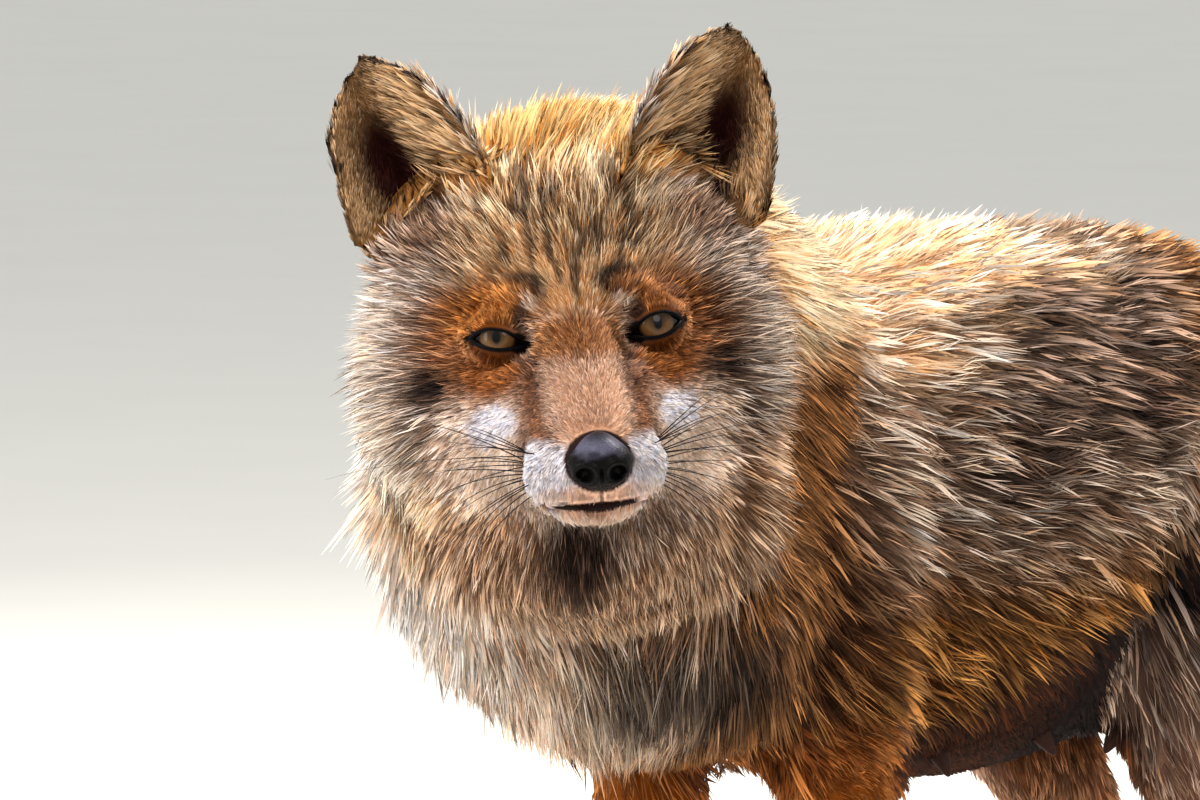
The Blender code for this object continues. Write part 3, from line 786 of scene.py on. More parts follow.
def add_node(tree, kind, **settings):
    """A node with its settings; a setting given as (node, output) is a link into that socket."""
    node = tree.nodes.new("ShaderNode" + kind)
    for name, value in settings.items():
        if hasattr(node, name) and name not in node.inputs:
            setattr(node, name, value)
        else:
            socket = node.inputs[int(name[1:])] if name[0] == "_" else node.inputs[name]
            if isinstance(value, bpy.types.NodeSocket):
                tree.links.new(value, socket)
            else:
                socket.default_value = value
    return node


def attribute(tree, name, output="Fac"):
    return add_node(tree, "Attribute", attribute_name=name).outputs[output]


def object_noise(tree, scale, detail=3.0, roughness=0.55):
    place = add_node(tree, "TexCoord").outputs["Object"]
    noise = add_node(tree, "TexNoise", Vector=place, Scale=scale, Detail=detail, Roughness=roughness)
    return noise.outputs["Fac"]


def ranged(tree, value, source, target, **settings):
    """A value carried from one range to another."""
    node = add_node(tree, "MapRange", Value=value, **settings)
    for socket, number in zip(("From Min", "From Max", "To Min", "To Max"), (*source, *target)):
        node.inputs[socket].default_value = number
    return node.outputs["Result"]


def vector_math(tree, operation, vector, output="Vector", by=None, **sockets):
    node = add_node(tree, "VectorMath", operation=operation, _0=vector, **sockets)
    if by:
        node.inputs[1].default_value = by
    return node.outputs[output]


def tinted(tree, paint, factor, low, high):
    """The colour made darker and lighter by a factor from 0 to 1."""
    return vector_math(tree, "SCALE", paint, Scale=ranged(tree, factor, (0, 1), (low, high)))


def blended(tree, factor, low, high):
    """A mix of two colours, each of them linear numbers or a link."""
    mix = add_node(tree, "Mix", data_type="RGBA", Factor=factor)
    for socket, paint in ((mix.inputs[6], low), (mix.inputs[7], high)):
        if isinstance(paint, bpy.types.NodeSocket):
            tree.links.new(paint, socket)
        else:
            socket.default_value = (*paint, 1)
    return mix.outputs[2]


def bumped(tree, shader, height, distance, strength=1.0):
    bump = add_node(tree, "Bump", Height=height, Distance=distance, Strength=strength)
    tree.links.new(bump.outputs["Normal"], shader.inputs["Normal"])


def coloured(tree, shader, paint):
    tree.links.new(paint, shader.inputs["Base Color"])


def fur_material():
    """Hair: its own colours along each lock, with fine changes from place to place."""
    material, tree, shader = new_material("fox_hair", roughness=0.7, Specular_IOR_Level=0.12)
    paint = attribute(tree, "hair_colour", "Color")
    coloured(tree, shader, tinted(tree, paint, object_noise(tree, 900.0, 2.0), 0.82, 1.18))
    return material


def skin_material():
    """Skin and short underfur, with fine dark and light hairs, and glossy black lids."""
    material, tree, shader = new_material("fox_skin", roughness=0.8, Specular_IOR_Level=0.03)
    hairs = object_noise(tree, 1400.0, 4.0, 0.7)
    coloured(tree, shader, tinted(tree, attribute(tree, "skin_colour", "Color"), hairs, 0.62, 1.38))
    rough = ranged(tree, attribute(tree, "shine"), (0, 1), (0.85, 0.32))
    tree.links.new(rough, shader.inputs["Roughness"])
    bumped(tree, shader, hairs, 0.0006, 0.7)
    return material


def eye_material():
    """Amber iris with darker rim and streaks and a painted shadow of the upper lid over its top, an upright
    pupil, and a wet clear surface.
    """
    wet = {"Specular_IOR_Level": 0.04, "Coat_Weight": 0.22, "Coat_Roughness": 0.03}
    material, tree, shader = new_material("fox_eye", roughness=0.2, **wet)
    place = attribute(tree, "iris_place", "Vector")
    parts = add_node(tree, "SeparateXYZ", Vector=place)
    across, up = parts.outputs["X"], parts.outputs["Y"]
    radius = vector_math(tree, "LENGTH", place, "Value")
    angle = add_node(tree, "Math", operation="ARCTAN2", _0=up, _1=across).outputs["Value"]
    turn = add_node(tree, "CombineXYZ", X=angle, Y=radius).outputs["Vector"]
    stretched = vector_math(tree, "MULTIPLY", turn, by=(7.0, 0.35, 1.0))
    streaks = add_node(tree, "TexNoise", Vector=stretched, Scale=1.6, Detail=4.0).outputs["Fac"]
    outward = add_node(tree, "Math", operation="DIVIDE", _0=radius, _1=IRIS_RADIUS).outputs["Value"]
    ramp = add_node(tree, "ValToRGB", Fac=outward)
    stops = ramp.color_ramp.elements
    stops[0].position, stops[0].color = 0.16, (*colour(48, 30, 12), 1)
    stops[1].position, stops[1].color = 1.0, (*colour(4, 3, 3), 1)
    for position, *tint in ((0.42, 88, 62, 35), (0.70, 80, 54, 28), (0.83, 36, 23, 12), (0.90, 4, 3, 3)):
        stops.new(position).color = (*colour(*tint), 1)
    iris = tinted(tree, ramp.outputs["Color"], streaks, 0.62, 1.35)
    # painted shadow of the upper lid: the iris darker towards its top
    shade = ranged(tree, up, (-1.4, 2.4), (1.0, 0.16), interpolation_type="SMOOTHSTEP")
    iris = vector_math(tree, "SCALE", iris, Scale=shade)
    squeezed = vector_math(tree, "MULTIPLY", place, by=(1.0, 0.62, 0.0))
    oval = vector_math(tree, "LENGTH", squeezed, "Value")
    pupil = ranged(tree, oval, (0.95, 1.55), (0, 1), interpolation_type="SMOOTHSTEP")
    coloured(tree, shader, blended(tree, pupil, colour(3, 3, 4), iris))
    return material


def leather_material():
    """Bare nose leather: pebbled and black, with a painted bluish highlight over its top, and dark in the
    nostrils.
    """
    damp = {"Specular_IOR_Level": 0.04, "Coat_Weight": 0.04, "Coat_Roughness": 0.25}
    material, tree, shader = new_material("fox_nose", roughness=0.42, **damp)
    place = add_node(tree, "TexCoord").outputs["Object"]
    pebbles = add_node(tree, "TexVoronoi", Vector=place, Scale=1250.0, feature="SMOOTH_F1")
    pebbles = pebbles.outputs["Distance"]
    # painted highlight: a pale bluish sheen, as of the sky, over the top of the black leather
    paint = blended(tree, attribute(tree, "top"), colour(6, 4, 4), colour(78, 76, 92))
    paint = blended(tree, attribute(tree, "hollow"), paint, colour(4, 3, 3))
    coloured(tree, shader, tinted(tree, paint, pebbles, 1.15, 0.7))
    bumped(tree, shader, pebbles, 0.0003, 0.8)
    return material


def dark_material(name, dark, pale, roughness, specular=0.08, scale=700.0, grain=1600.0, strength=0.5):
    """Lid edge, claw, whisker or teat: a dark surface with fine changes and a fine grain."""
    material, tree, shader = new_material(name, roughness=roughness, Specular_IOR_Level=specular)
    coloured(tree, shader, blended(tree, object_noise(tree, scale), colour(*dark), colour(*pale)))
    bumped(tree, shader, object_noise(tree, grain), 0.0001, strength)
    return material


# ---------------------------------------------------------------- separate pieces


def new_sphere(name, segments, rings):
    """A unit ball at the origin, its poles on Y."""
    bpy.ops.object.select_all(action="DESELECT")
    bpy.ops.mesh.primitive_uv_sphere_add(segments=segments, ring_count=rings, radius=1.0)
    ball = bpy.context.object
    ball.name = ball.data.name = name
    ball.data.transform(Matrix.Rotation(math.radians(90), 4, "X"))
    return smooth(ball)


def make_eye(eye, word):
    """The ball with its clear bulge in front; the iris is painted by each point's place round the gaze."""
    ball = new_sphere(f"eyeball_{word}", 64, 48)
    turn = Vector((0, -1, 0)).rotation_difference(Vector(eye.gaze)).to_matrix()
    around = points_of(ball) @ np.array(turn).T
    angle = np.degrees(np.arccos(np.clip(around @ eye.gaze, -1, 1)))
    bulge = EYE_BULGE * rise(44, 18, angle)
    move_points(ball, from_head(eye.centre + around * (EYE_RADIUS + bulge)[:, None]))
    side = unit(np.cross(eye.gaze, np.array([0.0, 0.0, 1.0])))
    up = np.cross(side, eye.gaze)
    arc = np.radians(angle) * EYE_RADIUS
    flat = np.stack([around @ side, around @ up], 1)
    flat = unit(flat) * arc[:, None]
    layer = ball.data.attributes.new("iris_place", "FLOAT_VECTOR", "POINT")
    spread = np.zeros((len(flat), 3), np.float32)
    spread[:, :2] = flat
    layer.data.foreach_set("vector", spread.ravel())
    return finished(ball, MATERIALS["eye"], "eye", f"eye_{word}")


def tube_piece(name, paths, sides=2, closed=False):
    """Closed tubes along paths of (point in metres, radius in millimetres), as one mesh."""
    line = bpy.data.curves.new(name, "CURVE")
    line.dimensions = "3D"
    line.bevel_depth = MM
    line.bevel_resolution = sides
    line.use_fill_caps = True
    for path in paths:
        spline = line.splines.new("POLY")
        spline.points.add(len(path) - 1)
        for point, (place, radius) in zip(spline.points, path):
            point.co = (*place, 1.0)
            point.radius = radius
        spline.use_cyclic_u = closed
    obj = new_object(name, line)
    make_active(obj)
    bpy.ops.object.convert(target="MESH")
    obj = bpy.context.object
    obj.data.name = name
    return smooth(obj)


def make_lid_edges(eye, word):
    """The thick wet edge all round the opening, drawn out at both corners."""
    ends = np.linspace(-1, 1, 33)
    along = eye.LENGTH * np.sin(ends * math.pi / 2) - 0.4
    path = []
    for edge, run in ((eye.upper_edge, along), (eye.lower_edge, along[::-1][1:-1])):
        for a in run:
            up = float(edge(np.array([a]))[0])
            out = float(eye.lid_height(np.array([a]), np.array([up]), 0.45)[0])
            place = eye.centre + a * eye.along + up * eye.up + out * eye.front
            thick = 0.34 + 0.20 * (edge == eye.lower_edge)
            path.append((from_head(place), thick))
    piece = tube_piece(f"lid_edge_{word}", [path], closed=True)
    return finished(piece, MATERIALS["rim"], "nose")


def make_nose():
    """Bare nose leather: broad above, narrow below, with comma nostrils and a parting line."""
    nose = new_sphere("nose_leather", 96, 64)
    x, y, z = points_of(nose).T
    narrow = 1 - 0.14 * rise(-0.35, -1.0, z) - 0.30 * rise(0.05, 1.0, z)
    flat = np.sign(y) * np.abs(y) ** 0.86
    head = NOSE_MIDDLE + np.stack([10.6 * x * narrow, 9.2 * flat, 9.5 * z], 1)
    front = rise(0.1, -0.4, y)
    wide = np.abs(head[:, 0] - NOSE_MIDDLE[0])
    hole = np.exp(-(((wide - 5.2) / 2.5) ** 2 + ((head[:, 2] + 27.0) / 2.3) ** 2) ** 1.6)
    slit = np.exp(-(((wide - 8.4) / 2.4) ** 2 + ((head[:, 2] + 29.4 + 0.25 * (wide - 8)) / 0.9) ** 2))
    wing = np.exp(-((np.hypot(wide - 5.2, head[:, 2] + 26.8) - 4.0) / 1.0) ** 2)
    parting = np.exp(-(((head[:, 0] - NOSE_MIDDLE[0]) / 0.5) ** 2)) * rise(-23, -27, head[:, 2])
    head[:, 1] += front * (4.6 * hole + 1.5 * slit - 0.55 * wing + 1.0 * parting)
    move_points(nose, from_head(head))
    add_values(nose, "hollow", np.clip(front * (1.5 * hole + 0.9 * slit + 0.5 * parting), 0, 1))
    # top: where the painted bluish highlight lies, over the upper part of the leather
    add_values(nose, "top", rise(0.26, 0.66, z + 0.10 * mottle(head * MM, 0.0018, 13)) * rise(1.08, 0.7, z))
    return finished(nose, MATERIALS["leather"], "nose", "nose")


# Each foot: millimetres left and back, and its size.
PAWS = ((37, -24, 1.0), (41, 303, 0.93), (-37, -24, 1.0), (-41, 345, 0.93))

# A claw's middle line: millimetres back and up, and how thick it is.
CLAW_ARCH = (
    (-6.0, 9.6, 1.7),
    (-9.5, 9.9, 1.8),
    (-12.5, 9.2, 1.5),
    (-15.2, 7.6, 1.05),
    (-17.2, 5.9, 0.6),
    (-18.4, 4.6, 0.15),
)


def make_claws():
    """Four short bent claws on each foot, tips off the floor."""
    paths = []
    for x, y, scale in PAWS:
        for across, forward in ((-12.5, 11.0), (-4.3, 16.5), (4.3, 16.5), (12.5, 11.0)):
            toe_x, toe_y = x + across * scale, y - forward * scale
            paths.append(
                [(FEET + np.array([toe_x, toe_y + back, up]) * MM, thick) for back, up, thick in CLAW_ARCH]
            )
    return finished(tube_piece("claws", paths), MATERIALS["claw"], "claw")


def make_whiskers(skin_tree):
    """Stiff black whiskers in rows on the lip pads, swept back over the cheeks, and a few over the eyes."""
    rng = np.random.default_rng(5)
    paths = []
    for side in (-1, 1):
        rows = []
        for row in range(4):
            for column in range(5):
                spread = (column + 0.5 * (row % 2)) / 5
                root = (side * (17 + 8.0 * spread), -64 + 22 * spread, -24.0 - 3.6 * row - 2.5 * spread)
                lean = (side, 0.16 + 0.30 * spread, 0.46 - 0.30 * row + 0.10 * (column - 2))
                rows.append((root, lean, rng.uniform(38, 58) * (1.0 - 0.16 * abs(row - 1.2)), 0.24))
        rows.append(((side * 20, -1, 15), (side * 0.5, -0.35, 0.75), 20, 0.13))
        rows.append(((side * 22, -1, 15), (side * 0.65, -0.25, 0.7), 17, 0.12))
        if side < 0:
            rows.append(((-23, -52, -26), (-1.0, 0.42, 0.02), 94, 0.2))
        for root, lean, length, thick in rows:
            lean = unit(np.array(lean) + rng.normal(0, 0.05, 3))
            start = in_head(np.array(skin_tree.find_nearest(Vector(from_head(root)))[0])[None])[0]
            droop = rng.uniform(0.20, 0.40)
            path = []
            for t in np.linspace(0, 1, 15):
                bend = np.array([-0.20 * side * t * t, 0.42 * t * t, -droop * t * t]) * length
                place = start + lean * (length * t - 0.8) + bend
                path.append((from_head(place), thick * (1 - 0.85 * t)))
            paths.append(path)
    return finished(tube_piece("whiskers", paths, sides=1), MATERIALS["whisker"], "whisker")


def make_teats(skin_tree):
    """Two rows of four dark teats: three pairs on the belly, and one that the forelegs catch."""
    shapes = []
    for side in (-1, 1):
        for back in (22, 99, 176, 238):
            below = FEET + np.array([side * 31, back, 100]) * MM
            on_belly, normal, _, _ = skin_tree.ray_cast(Vector(below), Vector((0, 0, 1)))
            teat = new_sphere("teat", 24, 16)
            x, y, z = points_of(teat).T
            tip = rise(0.1, -1.0, y)
            waist = 1 - 0.45 * tip
            shaped = np.stack([4.0 * x * waist, 5.0 * y - 5.0 * tip, 4.0 * z * waist], 1)
            turn = np.array(Vector((0, -1, 0)).rotation_difference(normal).to_matrix())
            move_points(teat, shaped @ turn.T * MM + np.array(on_belly))
            shapes.append(teat)
    return finished(joined(shapes, "teats"), MATERIALS["teat"], "nose")


# ---------------------------------------------------------------- the lie of the coat

# The tail's middle line, from root to tip, in the body's frame.
TAIL_RUN = np.array(
    [
        (0, 385, 330),
        (0, 419, 312),
        (2, 451, 276),
        (4, 479, 226),
        (6, 503, 170),
        (8, 527, 118),
        (10, 555, 74),
        (12, 597, 32),
    ],
    float,
)


def on_tail_run(body):
    """For each point, its share along the tail and the tail's direction and middle there."""
    steps = np.diff(TAIL_RUN, axis=0)
    best = np.full(len(body), np.inf)
    share, middle, heading = np.zeros(len(body)), np.zeros((len(body), 3)), np.zeros((len(body), 3))
    for i, (start, step) in enumerate(zip(TAIL_RUN, steps)):
        t = np.clip((body - start) @ step / (step @ step), 0, 1)
        at = start + t[:, None] * step
        far = np.linalg.norm(body - at, axis=1)
        nearer = far < best
        best = np.where(nearer, far, best)
        share = np.where(nearer, (i + t) / len(steps), share)
        middle[nearer], heading[nearer] = at[nearer], unit(step)
    return share, middle, heading


def head_flow(head):
    """Away from the nose: back over the bridge and brow, out and down over the cheeks, and round the eyes."""
    face = in_face(head)
    x, y, z = face.T
    bridge = rise(15, 9, np.abs(x)) * rise(-37, -31, z) * rise(6, -4, z)
    back = (y + 100) * (1 - 0.85 * rise(-42, -62, z))
    flow = np.stack([1.2 * x, back, 1.3 * (z - 2) * (1 - bridge) + 12 * bridge], 1)
    cos, sin = math.cos(FACE_LIFT), math.sin(FACE_LIFT)
    flow = np.stack([flow[:, 0], flow[:, 1] * cos + flow[:, 2] * sin, flow[:, 2] * cos - flow[:, 1] * sin], 1)
    for eye in EYES:
        along, up, height, outside = eye.axes(head)
        near = 130 * np.exp(-((np.maximum(outside, 0) / 6.0) ** 2)) * (height > 0)
        away = unit(0.6 * along[:, None] * eye.along + 1.4 * up[:, None] * eye.up)
        flow = flow + near[:, None] * away
    return flow @ TURN.T


def ear_flow(head, normals, side):
    """Up the back of the ear; in front, from the inner edge up and out over the hollow."""
    _, across, facing, along, outward = ear_axes(head, normals, side)
    lean = np.where(across < 6, 0.75, -0.25) * rise(-0.1, 0.35, facing)
    return (along + lean[:, None] * outward) @ TURN.T


def coat_flow(points, normals, labels):
    """The direction that the hair lies in at each point of the skin, along its surface."""
    head, body = in_head(points), in_body(points)
    x, y, z = body.T
    size = len(points)
    flow = np.stack([np.zeros(size), np.ones(size), -0.30 - 0.40 * rise(300, 225, z)], 1)
    top = rise(362, 402, z)
    neck = np.stack([0.004 * x, 0.62 + 0.5 * top, -0.85 + 0.85 * top], 1)
    front = np.stack([0.006 * x, np.full(size, -0.05), np.full(size, -1.0)], 1)
    flow = flow + (neck - flow) * rise(20, -70, y)[:, None]
    on_chest = rise(0.25, -0.35, normals[:, 1]) * rise(-30, -80, y) * rise(385, 345, z)
    flow = flow + (front - flow) * on_chest[:, None]
    skull = rise(70, 30, head[:, 1])[:, None] * ~is_node(labels, "trunk")[:, None]
    flow = flow + (unit(head_flow(head)) - flow) * skull
    flow[is_node(labels, "foreleg", "hindleg")] = (0.0, 0.08, -1.0)
    flow[is_node(labels, "thigh")] = (0.0, 0.45, -0.90)
    flow[is_node(labels, "forepaw", "hindpaw")] = (0.0, -0.75, -0.65)
    tail = is_node(labels, "tail")
    flow[tail] = on_tail_run(body[tail])[2]
    for side, node in EARS:
        ear = is_node(labels, node)
        flow[ear] = ear_flow(head[ear], normals[ear], side)
    return along_skin(flow, normals)


def swirled(flow, points, normals, labels):
    """The lie turned a little this way and that, as fur parts into locks."""
    calm = np.where(is_node(labels, "head", "ear"), 0.35, 1.0)
    angle = calm * (0.34 * mottle(points, 0.030, 20) + 0.22 * mottle(points, 0.011, 21))
    return turned(flow, normals, angle)


class Coat:
    """What the coat is made from: the skin's triangles, and the lie, length and lift of the hair on it."""

    def __init__(self, skin, surface, nodes):
        self.points = points_of(skin)
        self.normals = normals_of(skin)
        self.triangles = triangles_of(skin)
        edges = edges_of(skin)
        self.labels, far = nearest_nodes(self.points, surface, nodes)
        flow = coat_flow(self.points, self.normals, self.labels)
        flow = along_skin(evened(flow, edges, 8), self.normals)
        self.flow = swirled(flow, self.points, self.normals, self.labels)
        self.lift = np.clip(evened(far, edges, 3)[:, 0], 0.9, 17.0)
        body, back = in_body(self.points), in_head(self.points)[:, 1]
        low = is_node(self.labels, "trunk") & (body[:, 1] < 20)
        short = np.minimum(self.lift, 1.6 + 0.22 * np.maximum(body[:, 2] - 212, 0))
        self.lift = np.where(low, short, self.lift)
        self.free = np.full(len(self.points), 0.3)
        hollow = ((evened(self.points, edges, 60) - self.points) * self.normals).sum(1) / MM
        hollow = hollow * rise(-5, 15, back) * ~is_node(self.labels, "ear")
        self.lift = self.lift + np.clip(1.6 * hollow, 0, 9)
        self.shape_head()
        near_face = is_node(self.labels, "head") * rise(60, 30, back)
        self.length = 1.8 + (2.45 - 0.65 * near_face) * np.minimum(self.lift, 12.0)
        self.width = 0.21 + 0.013 * self.lift
        self.shape_ears()
        self.bare = self.bare_places()
        corners = self.points[self.triangles]
        self.middles = corners.mean(1)
        edge, other = corners[:, 1] - corners[:, 0], corners[:, 2] - corners[:, 0]
        self.areas = np.linalg.norm(np.cross(edge, other), axis=1) / 2
        self.tree = BVHTree.FromPolygons(self.points.tolist(), self.triangles.tolist())

    def shape_head(self):
        """Short fur round the eyes, a high crown, and a ruff whose ends stand free of the neck."""
        head = in_head(self.points)
        x, y, z = in_face(head).T
        for eye in EYES:
            _, _, height, outside = eye.axes(head)
            near = 0.9 + 0.40 * np.maximum(outside, 0)
            self.lift = np.where(height > 0, np.minimum(self.lift, near), self.lift)
        skull = ~is_node(self.labels, "trunk") & (y < 110)
        crown = skull * rise(44, 62, z) * rise(42, 28, np.abs(x))
        self.lift = np.minimum(self.lift, 20 - 13.5 * crown)
        by_ear = np.linalg.norm(head - np.sign(x)[:, None] * [42, 0, 0] - [0, 40, 22], axis=1)
        self.lift = np.minimum(self.lift, 20 - 14.5 * skull * rise(34, 20, by_ear))
        ruff = rise(-34, -56, z) * rise(10, 24, np.abs(x)) + rise(48, 62, np.abs(x)) * rise(40, 20, z)
        low = skull * rise(-50, -64, z) * rise(-20, -5, y)
        self.lift = self.lift + 3.0 * low
        self.free = self.free + 0.7 * np.clip(0.6 * crown + ruff + low, 0, 1) * skull * rise(-12, 8, y)

    def shape_ears(self):
        """Long loose hair from the ear's inner edge, short fur on its back, little in the hollow."""
        for side, node in EARS:
            ear = is_node(self.labels, node)
            height, across, facing, _, _ = ear_axes(in_head(self.points), self.normals, side)
            long_hair = rise(-0.1, 0.35, facing) * rise(2, -12, across) * rise(0.95, 0.6, height)
            rim = np.maximum(rise(0.84, 0.96, np.abs(across) / ear_edge(height)), rise(0.86, 0.96, height))
            rim = rim * rise(0.2, 0.4, height) * rise(0.95, 0.82, height) * np.where(across < 0, 1.0, 0.5)
            self.lift = np.where(ear, 1.3 + 3.2 * long_hair + 2.6 * rim, self.lift)
            length = 5.0 + 10.0 * long_hair * (1 - rim) + 2.0 * rim
            self.length = np.where(ear, length * (1 - 0.4 * rise(0.80, 0.92, height)), self.length)
            self.width = np.where(ear, 0.20, self.width)
            self.free = np.where(ear, 0.3 + 0.6 * rim, self.free)

    def bare_places(self):
        """Where no hair grows: between and on the lids, between the lips, and under the nose leather."""
        head = in_head(self.points)
        bare = np.zeros(len(head), bool)
        for eye in EYES:
            along, _, height, outside = eye.axes(head)
            bare |= (outside < 0.9) & (height > 0) & (np.abs(along) < 12)
        gap = np.abs(head[:, 2] - mouth_height(head))
        bare |= (gap < 0.8) & (head[:, 1] < -26) & (np.abs(head[:, 0]) < 25)
        bare |= (np.abs(head[:, 0] - 1) < 0.9) & (head[:, 1] < -66) & (head[:, 2] < -31) & (head[:, 2] > -41)
        bare |= from_middle(head, NOSE_MIDDLE, (10.9, 9.3, 9.8)) < 1.0
        return bare | (in_body(self.points)[:, 2] < 2.0)

    def nearest(self, places):
        """The nearest points of the skin, and its normals and nodes there."""
        found = [self.tree.find_nearest(place) for place in places.tolist()]
        points, normals, faces, _ = zip(*found)
        return np.array(points), np.array(normals), self.labels[self.triangles[list(faces), 0]]

    def at(self, values, chosen, shares):
        """Values of the skin's vertices, at places within its triangles."""
        corners = values[self.triangles[chosen]]
        return np.einsum("nc,nc...->n...", shares, corners)


def zone_of(coat):
    """Which coat piece each triangle of the skin belongs to."""
    labels = coat.labels[coat.triangles[:, 0]]
    head, (x, y, _) = in_head(coat.middles), in_body(coat.middles).T
    facing = coat.normals[coat.triangles[:, 0]]
    on_head = is_node(labels, "head")
    zone = np.full(len(labels), "flank", "U14")
    for chosen, name in (
        (y < -50, "shoulder"),
        (is_node(labels, "neck"), "neck"),
        (on_head, "crown"),
        (on_head & (head[:, 1] < 22), "face"),
    ):
        zone[chosen] = name
    left = np.where(on_head, head[:, 0], x) > 0
    zone = np.char.add(zone, np.where(left, "_left", "_right"))
    for chosen, name in (
        ((facing[:, 1] < -0.25) & (y < -70) & ~on_head, "chest"),
        (is_node(labels, "ear"), "ears"),
        (is_node(labels, "thigh"), "thighs"),
        (is_node(labels, "fore"), "forelegs"),
        (is_node(labels, "hind"), "hindlegs"),
        (is_node(labels, "tail"), "tail"),
    ):
        zone[chosen] = name
    return zone


BEND = 0.6  # how far along a hair its bend and widest place is
GUARD_HAIRS = 0.21  # the share of tufts that stand high and keep pale tips
WISPS = 0.02  # the share of tufts that are longer and stand free
BRIGHTEST = 0.92  # no hair is brighter than this
LENGTHS = (0.62, 1.2)  # the shortest and the longest tufts' share of the length for their place
TUFT_TURN = 0.13  # radians that tufts turn from the lie of the coat
ROOT_DEPTH = 0.4  # millimetres from the skin down to a hair's root
FLOOR_GAP = 0.003  # metres that hair keeps off the floor

FUR_SHARE = 1.0

# Each coat piece: how many hairs, how many in a tuft, how far a tuft's tips draw together, and its slot.
COATS = {
    "face_left": (42000, 2, 0.2, "coat"),
    "face_right": (42000, 2, 0.2, "coat"),
    "crown_left": (26000, 2, 0.3, "coat"),
    "crown_right": (26000, 2, 0.3, "coat"),
    "ears": (26000, 2, 0.2, "ear"),
    "neck_left": (34000, 3, 0.5, "coat"),
    "neck_right": (18000, 3, 0.5, "coat"),
    "chest": (44000, 3, 0.5, "coat"),
    "shoulder_left": (18000, 3, 0.5, "coat"),
    "shoulder_right": (8000, 3, 0.5, "coat"),
    "flank_left": (40000, 3, 0.5, "coat"),
    "flank_right": (19000, 3, 0.4, "coat"),
    "thighs": (13000, 3, 0.4, "coat"),
    "forelegs": (7000, 3, 0.3, "stocking"),
    "hindlegs": (6000, 3, 0.3, "stocking"),
    "tail": (14000, 4, 0.45, "tail_tip"),
}


def unwrapped(zone, points, normals, labels):
    """Each root's place on a flat unwrap of the skin there: along and around the form that it grows on."""
    head, body = in_head(points), in_body(points)
    x, y, z = body.T
    if zone.startswith(("face", "crown")):
        arm = in_face(head) - [0, 45, -5]
        far = np.linalg.norm(arm, axis=1)
        along = 60 * np.arccos(np.clip(-arm[:, 1] / far, -1, 1)) - (far - 60)
        around = np.arctan2(np.abs(arm[:, 0]), arm[:, 2])
    elif zone == "ears":
        along, around = np.zeros(len(x)), np.zeros(len(x))
        for place, (side, node) in enumerate(EARS):
            here = is_node(labels, node)
            height, across, facing, _, _ = ear_axes(head, normals, side)
            along = np.where(here, height, along)
            around = np.where(here, across + 70 * (2 * place + (facing > 0.1)), around)
    elif zone == "tail":
        share, middle, _ = on_tail_run(body)
        along, around = share, np.arctan2(body[:, 0] - middle[:, 0], body[:, 1] - middle[:, 1])
    elif zone in ("forelegs", "hindlegs", "thighs"):
        middle_y = 0 if zone == "forelegs" else np.where(x > 0, 309, 350)
        around = np.arctan2(y - middle_y, np.abs(x) - 40) + np.where(x > 0, 7.0, 0.0)
        along = z
    else:
        around = np.arctan2(x, z - 290) if zone.startswith(("flank", "shoulder")) else np.arctan2(x, y + 20)
        along = y if zone.startswith("flank") else z - 0.5 * y
    spread = np.stack([around, along], 1)
    low, high = spread.min(0), spread.max(0)
    return 0.01 + 0.98 * (spread - low) / (high - low)


def clear_of_eyes(points):
    """Whether points stay off the openings of the eyes."""
    head = in_head(points)
    clear = np.ones(len(head), bool)
    for eye in EYES:
        _, _, height, outside = eye.axes(head)
        clear &= (outside > 1.0) | (height < 0) | (height > 25)
    return clear


def clear_of_mouth(points):
    """Whether points stay off the dark line between the lips."""
    head = in_head(points)
    gap = head[:, 2] - mouth_height(head)
    front = (head[:, 1] < -40) & (np.abs(head[:, 0]) < 19)
    deep = np.interp(np.abs(head[:, 0]), [0, 8, 15, 19], [-3.1, -2.4, -1.2, -1.2])
    return ~(front & (gap < 1.0) & (gap > deep))


def ends_on_its_lip(root, tip):
    """Whether hairs near the mouth end on the side of it where they start."""
    start, end = in_head(root), in_head(tip)
    away = (start[:, 1] > -30) | (np.abs(start[:, 0]) > 24)
    return away | ((start[:, 2] > mouth_height(start)) == (end[:, 2] > mouth_height(end)))


